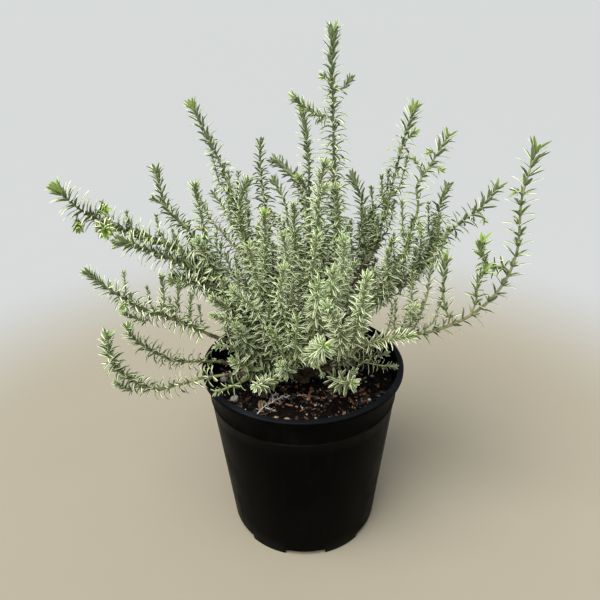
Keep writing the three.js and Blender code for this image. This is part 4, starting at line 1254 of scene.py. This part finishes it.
def plastic_finish():
    finish = Finish("black_plastic", **{"IOR": 1.46, "Specular IOR Level": 0.02})
    place = finish.place()
    height = finish.split(place)[2]
    drop = finish.stretched(place, 130.0, 130.0, 9.0)
    streaks = finish.spots(drop, 1.0, 4.0, 0.50, 0.78)
    patches = finish.spots(place, 26.0, 5.0, 0.42, 0.75)
    low = 1 - finish.step(height, 0.0, 0.15)
    film = streaks * 0.35 + patches * (0.25 + 0.35 * low)
    # Masks of the painted highlights on the ridge and along the lip's top. The film's patches break them up.
    ridge = 1 - finish.step(abs(height - RIDGE_AT * MM), 0.4 * MM, 1.3 * MM)
    lip = finish.step(height, (POT_HEIGHT - 2) * MM, (POT_HEIGHT - 0.4) * MM)
    specks = finish.spots(place, 700.0, 1.0, 0.80, 0.84)
    color = finish.mix(film.math("MINIMUM", 1.0), BLACK, FILM)
    color = finish.mix(ridge * patches * 0.3, color, RIDGE_PAINTED_HIGHLIGHT)
    color = finish.mix(lip * (0.35 + 0.5 * patches), color, LIP_PAINTED_HIGHLIGHT)
    color = finish.mix(specks * 0.3, color, SPECK)
    bump = finish.bump(0.12, 0.4 * MM, finish.noise(place, 1400.0) + streaks)
    return finish.feed(Base_Color=color, Roughness=0.36 + film * 0.34, Normal=bump)


pot.data.materials.append(plastic_finish())
place_piece(pot, "pot_plastic", "pot")
print("pot finish:", pot.data.materials[0].name)

# %% [markdown]
# ## The potting mix
# The mix fills the pot to 25 mm below the lip. It is composted bark: a dark crumbly bed with larger chips,
# grit and a few pebbles on top. The bed is one closed body with a lumpy top, and the chips and grit on it
# are set by one scattering tree, each grain a closed body of a few faces, resting on the bed.

# %% Bed of the mix
MIX_RINGS, MIX_SIDES, MIX_FOOT = 46, 120, 9.1


def mix_height(x, y):
    """The bed's height in millimetres: broad waves, as in the solid, and crumbs."""
    wide = math.sin(x * 0.09 + 1.3) * math.cos(y * 0.11 - 0.4)
    small = math.sin(x * 0.31 + y * 0.23) * math.cos(y * 0.37 - x * 0.19)
    crumbs = noise.noise(Vector((x, y, 3.0)) * 0.16) + 0.6 * noise.noise(Vector((x, y, 9.0)) * 0.42)
    return MIX_TOP + 1.8 * (0.7 * wide + 0.8 * small) + 1.3 * crumbs


def mix_profile():
    """The lumpy top from the middle out, then down the inside of the pot."""
    edge = wall_radius(MIX_TOP) - WALL - 0.35
    return [*[(edge * k / MIX_RINGS, mix_height) for k in range(MIX_RINGS + 1)],
            *[(wall_radius(z) - WALL - 0.4, z) for z in (158, 120, 80, 40, 12)],
            (wall_radius(9) - WALL - 3, MIX_FOOT), (0, MIX_FOOT)]


def mix_finish():
    finish = Finish("potting_mix", **{"Roughness": 0.95, "Specular IOR Level": 0.05})
    place = finish.place()
    crumbs = finish.noise(place, 260.0, 5.0)
    fibres = finish.node("ShaderNodeTexVoronoi", {"Vector": place, "Scale": 420.0}, feature="F1")
    color = finish.ramp(crumbs, (0.30, (0.002, 0.0015, 0.001)), (0.52, (0.006, 0.004, 0.003)),
                        (0.74, (0.024, 0.016, 0.010)))
    color = finish.mix(finish.step(fibres, 0.0, 0.35) * 0.5, (0.003, 0.002, 0.002), color)
    return finish.feed(Base_Color=color, Normal=finish.bump(0.9, 1.6 * MM, crumbs + fibres * 0.6))


bed = turned_body("potting_mix_bed", mix_profile(), MIX_SIDES)
bed.data.materials.append(mix_finish())
place_piece(bed, "potting_mix", "potting_mix")
print("bed triangles:", triangles(bed))

# %% [markdown]
# Chips are flat splinters of bark, grit is rounder. Each is a small block whose corners are moved by a fixed
# set of random numbers. Their maps point at a cell of a colour sheet, as the leaves' do.

# %% Shapes of chips and grit
GRAIN_FACES = 20
MAP_REACH = 0.45
CHIP_SHAPES = [(1, (4.2, 1.9, 0.8), 0.7), (2, (3.1, 2.4, 0.7), 0.8), (3, (5.6, 1.4, 0.7), 0.6),
               (4, (2.4, 1.8, 1.1), 0.7)]
GRIT_SHAPES = [(5, (1.5, 1.2, 1.0), 0.4), (6, (1.1, 0.9, 0.8), 0.4), (7, (2.0, 1.5, 1.1), 0.4)]


def grain_mesh(name, seed, size, rough):
    """A closed irregular grain of 20 faces, in metres, with one map place for each corner."""
    work = bmesh.new()
    bmesh.ops.create_icosphere(work, subdivisions=1, radius=1.0)
    rng = np.random.default_rng(seed)
    for vert in work.verts:
        push = 1 + rough * (rng.random() - 0.5)
        vert.co = Vector([c * s * push * MM for c, s in zip(vert.co, size)])
    layer = work.loops.layers.uv.new("blade")
    for face in work.faces:
        for loop in face.loops:
            spot = loop.vert.co / MM
            loop[layer].uv = [0.5 + MAP_REACH * spot[k] / size[k] / 1.4 for k in (0, 1)]
    return mesh_of(name, work)


def grain_shapes(name, shapes):
    return shape_group(name, [grain_mesh(f"{name}_{k}", *shape) for k, shape in enumerate(shapes)])


chip_shapes, grit_shapes = grain_shapes("chip_shapes", CHIP_SHAPES), grain_shapes("grit_shapes", GRIT_SHAPES)

# %% Scattering tree
SHEET_TONES = 8
GRAIN_KINDS = 4
TOP_ONLY, STEEPEST = 150 * MM, 0.4
SCATTER_INPUTS = {"Shapes": "Collection", "Finish": "Material", "Number for each square metre": 20000.0,
                  "Smallest": 0.6, "Largest": 1.4, "Tilt": 0.5, "Sink": 0.2 * MM, "Clear of the wall": 3 * MM,
                  "Seed": 1}


def scattering():
    tree, inp = new_growth("scattered_grains", SCATTER_INPUTS)
    upright = tree.split(tree.node("GeometryNodeInputNormal"))[2]
    position = tree.node("GeometryNodeInputPosition")
    x, y, z = tree.split(position)
    clumps = 0.25 + tree.spots(position, 48.0, 1.0, 0.42, 0.58) * 1.1
    room = ((x * x + y * y).math("SQRT") < INNER_TOP * MM - inp["Clear of the wall"]) * (upright > STEEPEST)
    sockets = {"Mesh": inp["Geometry"], "Selection": room * (z > TOP_ONLY), "Seed": inp["Seed"],
               "Density": inp["Number for each square metre"] * clumps}
    spots = tree.node("GeometryNodeDistributePointsOnFaces", sockets, distribute_method="RANDOM")
    tone = math.floor(chance(tree, inp, 0, SHEET_TONES - 0.01, 1))
    spots, tone = capture(tree, spots, "POINT", tone=tone)
    lower = tree.join(0.0, 0.0, inp["Sink"] * -1)
    sunk = tree.node("GeometryNodeSetPosition", {"Geometry": spots, "Offset": lower})
    tilts = [chance(tree, inp, inp["Tilt"] * -1, inp["Tilt"], number) for number in (2, 3)]
    spin = tree.node("FunctionNodeEulerToRotation", [tree.join(*tilts, chance(tree, inp, 0, 6.28, 4))])
    size = chance(tree, inp, inp["Smallest"], inp["Largest"], 5)
    kind = math.floor(chance(tree, inp, 0, GRAIN_KINDS - 0.01, 6))
    grains, own_map = shapes_on(tree, sunk, inp["Shapes"], kind, spin, size)
    cell = tree.join(tone, 0.0, 0.0)
    return close_growth(tree, mapped(tree, grains, own_map, cell, (SHEET_TONES, 1.0)), inp["Finish"])


SCATTER = scattering()
print("scattering tree:", len(SCATTER.nodes), "nodes")

# %% Chip and grit finishes
CHIP_TONES = [(0.014, 0.008, 0.005), (0.070, 0.028, 0.013), (0.190, 0.070, 0.030), (0.010, 0.007, 0.005),
              (0.042, 0.022, 0.012), (0.006, 0.005, 0.004), (0.26, 0.14, 0.070), (0.018, 0.012, 0.008)]
GRIT_TONES = [(0.30, 0.28, 0.24), (0.16, 0.14, 0.12), (0.34, 0.25, 0.15), (0.05, 0.045, 0.04),
              (0.09, 0.07, 0.05), (0.45, 0.43, 0.39), (0.035, 0.055, 0.015), (0.10, 0.12, 0.05)]
GRAIN_STREAK = (0.012, 0.008, 0.006)


def grain_finish(name, tones, roughness):
    """A colour for each cell of the sheet, with streaks along the grain."""
    finish = Finish(name, Roughness=roughness, IOR=1.35)
    sheet = finish.sheet()
    tone = finish.ramp(finish.split(sheet)[0], *[(k / SHEET_TONES, tone) for k, tone in enumerate(tones)])
    tone.socket.node.color_ramp.interpolation = "CONSTANT"
    streak = finish.spots(finish.stretched(sheet, 60.0, 22.0, 1.0), 1.0, 3.0, 0.35, 0.7)
    return finish.feed(Base_Color=finish.mix(streak * 0.55, tone, GRAIN_STREAK))


BARK_CHIPS, GRIT = grain_finish("bark_chips", CHIP_TONES, 0.7), grain_finish("grit", GRIT_TONES, 0.8)
print("finishes:", BARK_CHIPS.name, GRIT.name)

# %% Scatter on the bed
def scatter(name, shapes, finish, density, **values):
    copy = add_object("bed_copy", bed.data.copy())
    grains = grown(copy, SCATTER, name, Shapes=shapes, Finish=finish, Smallest=0.35,
                   Number_for_each_square_metre=density, **values)
    return place_piece(grains, "potting_mix")


chips = scatter("bark_chips", chip_shapes, BARK_CHIPS, 27000.0, Largest=1.4, Tilt=0.55, Sink=-0.2 * MM,
                Clear_of_the_wall=5 * MM, Seed=3)
grit = scatter("grit", grit_shapes, GRIT, 30000.0, Largest=1.3, Tilt=3.0, Sink=-0.4 * MM, Seed=8)
print("chips:", triangles(chips) // GRAIN_FACES, "grit:", triangles(grit) // GRAIN_FACES)

# %% [markdown]
# A few loose things are big enough to know by sight: pebbles, a stone, a lump of clay, a cushion of moss
# and a dry twig that fell on the mix. They are listed one by one where they lie.

# %% Pebbles, stone and moss: the place, the half sizes and the colour's cell of the sheet
LOOSE_THINGS = [
    ((-15.3, -64.7), (3.2, 2.6, 2.0), 2), ((-25.6, -60.1), (2.6, 2.1, 1.7), 2),
    ((-67.3, -29.6), (5.2, 4.0, 3.2), 5), ((-59.9, 13.4), (5.5, 4.4, 3.6), 2),
    ((12.0, -70.5), (2.4, 2.0, 1.6), 0), ((-4.0, -74.0), (2.0, 1.7, 1.4), 5),
    ((26.5, -66.0), (2.2, 1.8, 1.5), 5), ((47.0, -54.0), (2.6, 2.0, 1.6), 0),
    ((-71.8, -2.5), (6.5, 5.2, 2.6), 6), ((-52.0, -58.0), (2.8, 2.2, 1.8), 0),
    ((64.0, -34.0), (2.1, 1.7, 1.5), 5), ((-38.0, -66.0), (2.4, 2.2, 1.6), 1),
    ((71.0, 4.0), (2.5, 2.0, 1.7), 0), ((20.0, 66.0), (3.0, 2.2, 1.8), 5),
    ((-30.0, 62.0), (2.6, 2.4, 1.8), 2), ((-81.0, 1.5), (4.2, 3.5, 3.0), 5),
]


def make_loose_things():
    work = bmesh.new()
    layer = work.loops.layers.uv.new("OFBake")
    for k, ((x, y), size, tone) in enumerate(LOOSE_THINGS):
        rests = Matrix.Translation(Vector((x, y, mix_height(x, y) + size[2] * 0.35)))
        spin = rests @ Matrix.Rotation(2.1 * k, 4, "Z")
        for vert in bmesh.ops.create_icosphere(work, subdivisions=2, radius=1.0)["verts"]:
            push = 1 + 0.22 * noise.noise(vert.co * 1.6 + Vector((k * 7, 0, 0)))
            around = math.atan2(vert.co.y, vert.co.x) / (2 * math.pi)
            for loop in vert.link_loops:
                loop[layer].uv = ((tone + 0.5 + 0.7 * around) / SHEET_TONES, 0.5 + 0.4 * vert.co.z)
            vert.co = spin @ Vector([c * s * push for c, s in zip(vert.co, size)]) * MM
    things = smooth_object("pebbles_and_moss", work)
    things.data.materials.append(GRIT)
    return place_piece(things, "potting_mix")


print("pebbles and moss:", triangles(make_loose_things()), "triangles")

# %% Fallen dry twig: points by x, y and the height over the mix
TWIG_LINES = [[(-44, -57, 3), (-37, -49, 5), (-29, -43, 6), (-21, -38, 6), (-15, -35, 5)],
              [(-37, -49, 5), (-33, -53, 6), (-27, -55, 5)], [(-29, -43, 6), (-29, -37, 7), (-26, -31, 5)]]
TWIG_RADII = [(0.7, 0.4), (0.5, 0.35), (0.5, 0.35)]
DRY_TWIG = habit(Ring_spacing=4.4, Leaf_length=8.5, Leaf_width=1.7, Tip_leaf=6, Tuft_share=0.0, Bare_length=1,
                 Tip_gather=4, Open_at=20, Full_size_at=20, Lean=0.2)


def dry_finish():
    finish = Finish("dry_leaf", Roughness=0.9, IOR=1.3)
    tone = finish.spots(finish.sheet(), 30.0, 2.0, 0.35, 0.65)
    return finish.feed(Base_Color=finish.mix(tone, (0.30, 0.285, 0.24), (0.62, 0.61, 0.54)))


def make_dry_twig():
    lines = [through([(x, y, mix_height(x, y) + up) for x, y, up in line], 8) for line in TWIG_LINES]
    return place_piece(grow_shoots(700, "dry_twig", lines, TWIG_RADII, DRY_TWIG, dry_finish()), "leaves")


print("dry twig:", triangles(make_dry_twig()), "triangles")

# %% [markdown]
# ## The woody base
# The trunk stands in the mix and divides into fifteen limbs, hidden by the leaves. They are tubes along the
# limbs' lines, drawn by a small tree that thickens and thins them a little, as old wood does.

# %% Woody base
TRUNK = [(0, 0, 149), (0.6, 0.3, 160), (0, 0, 170), (0, 0, 177)]
TRUNK_RADII, LIMB_RADII = (8, 5.6), (3.7, 1.7)
LIMB_SIDES = 10


def wood_growth():
    tree, inp = new_growth("woody_limbs", {"Finish": "Material", "Step": 3 * MM, "Lumps": 0.18})
    fine = tree.node("GeometryNodeResampleCurve", {"Curve": inp["Geometry"], "Length": inp["Step"]},
                     mode="LENGTH")
    lump = tree.noise(tree.node("GeometryNodeInputPosition"), 110.0) - 0.5
    radius = tree.node("GeometryNodeInputRadius") * (1 + lump * inp["Lumps"])
    ring = tree.node("GeometryNodeCurvePrimitiveCircle", {"Resolution": LIMB_SIDES, "Radius": 1.0})
    smooth = tree.node("GeometryNodeSetShadeSmooth", [tube(tree, fine, ring, radius)])
    return close_growth(tree, smooth, inp["Finish"])


def bark_finish():
    finish = Finish("bark", Roughness=0.85, IOR=1.35)
    coarse = finish.noise(finish.place(), 340.0, 4.0)
    color = finish.ramp(coarse, (0.3, (0.035, 0.022, 0.012)), (0.55, (0.11, 0.075, 0.045)),
                        (0.75, (0.21, 0.16, 0.11)))
    return finish.feed(Base_Color=color, Normal=finish.bump(0.6, 0.8 * MM, coarse))


def make_crown():
    curve = curve_of("crown_lines", [through(TRUNK), *limb_lines], [TRUNK_RADII] + [LIMB_RADII] * len(LIMBS))
    return place_piece(grown(curve, wood_growth(), "woody_crown", Finish=bark_finish()), "bark", "crown")


print("crown triangles:", triangles(make_crown()))

# %% Clear the spare shapes
for group in (leaf_shapes, chip_shapes, grit_shapes):
    for shape in list(group.objects):
        bpy.data.objects.remove(shape)
    bpy.data.collections.remove(group)
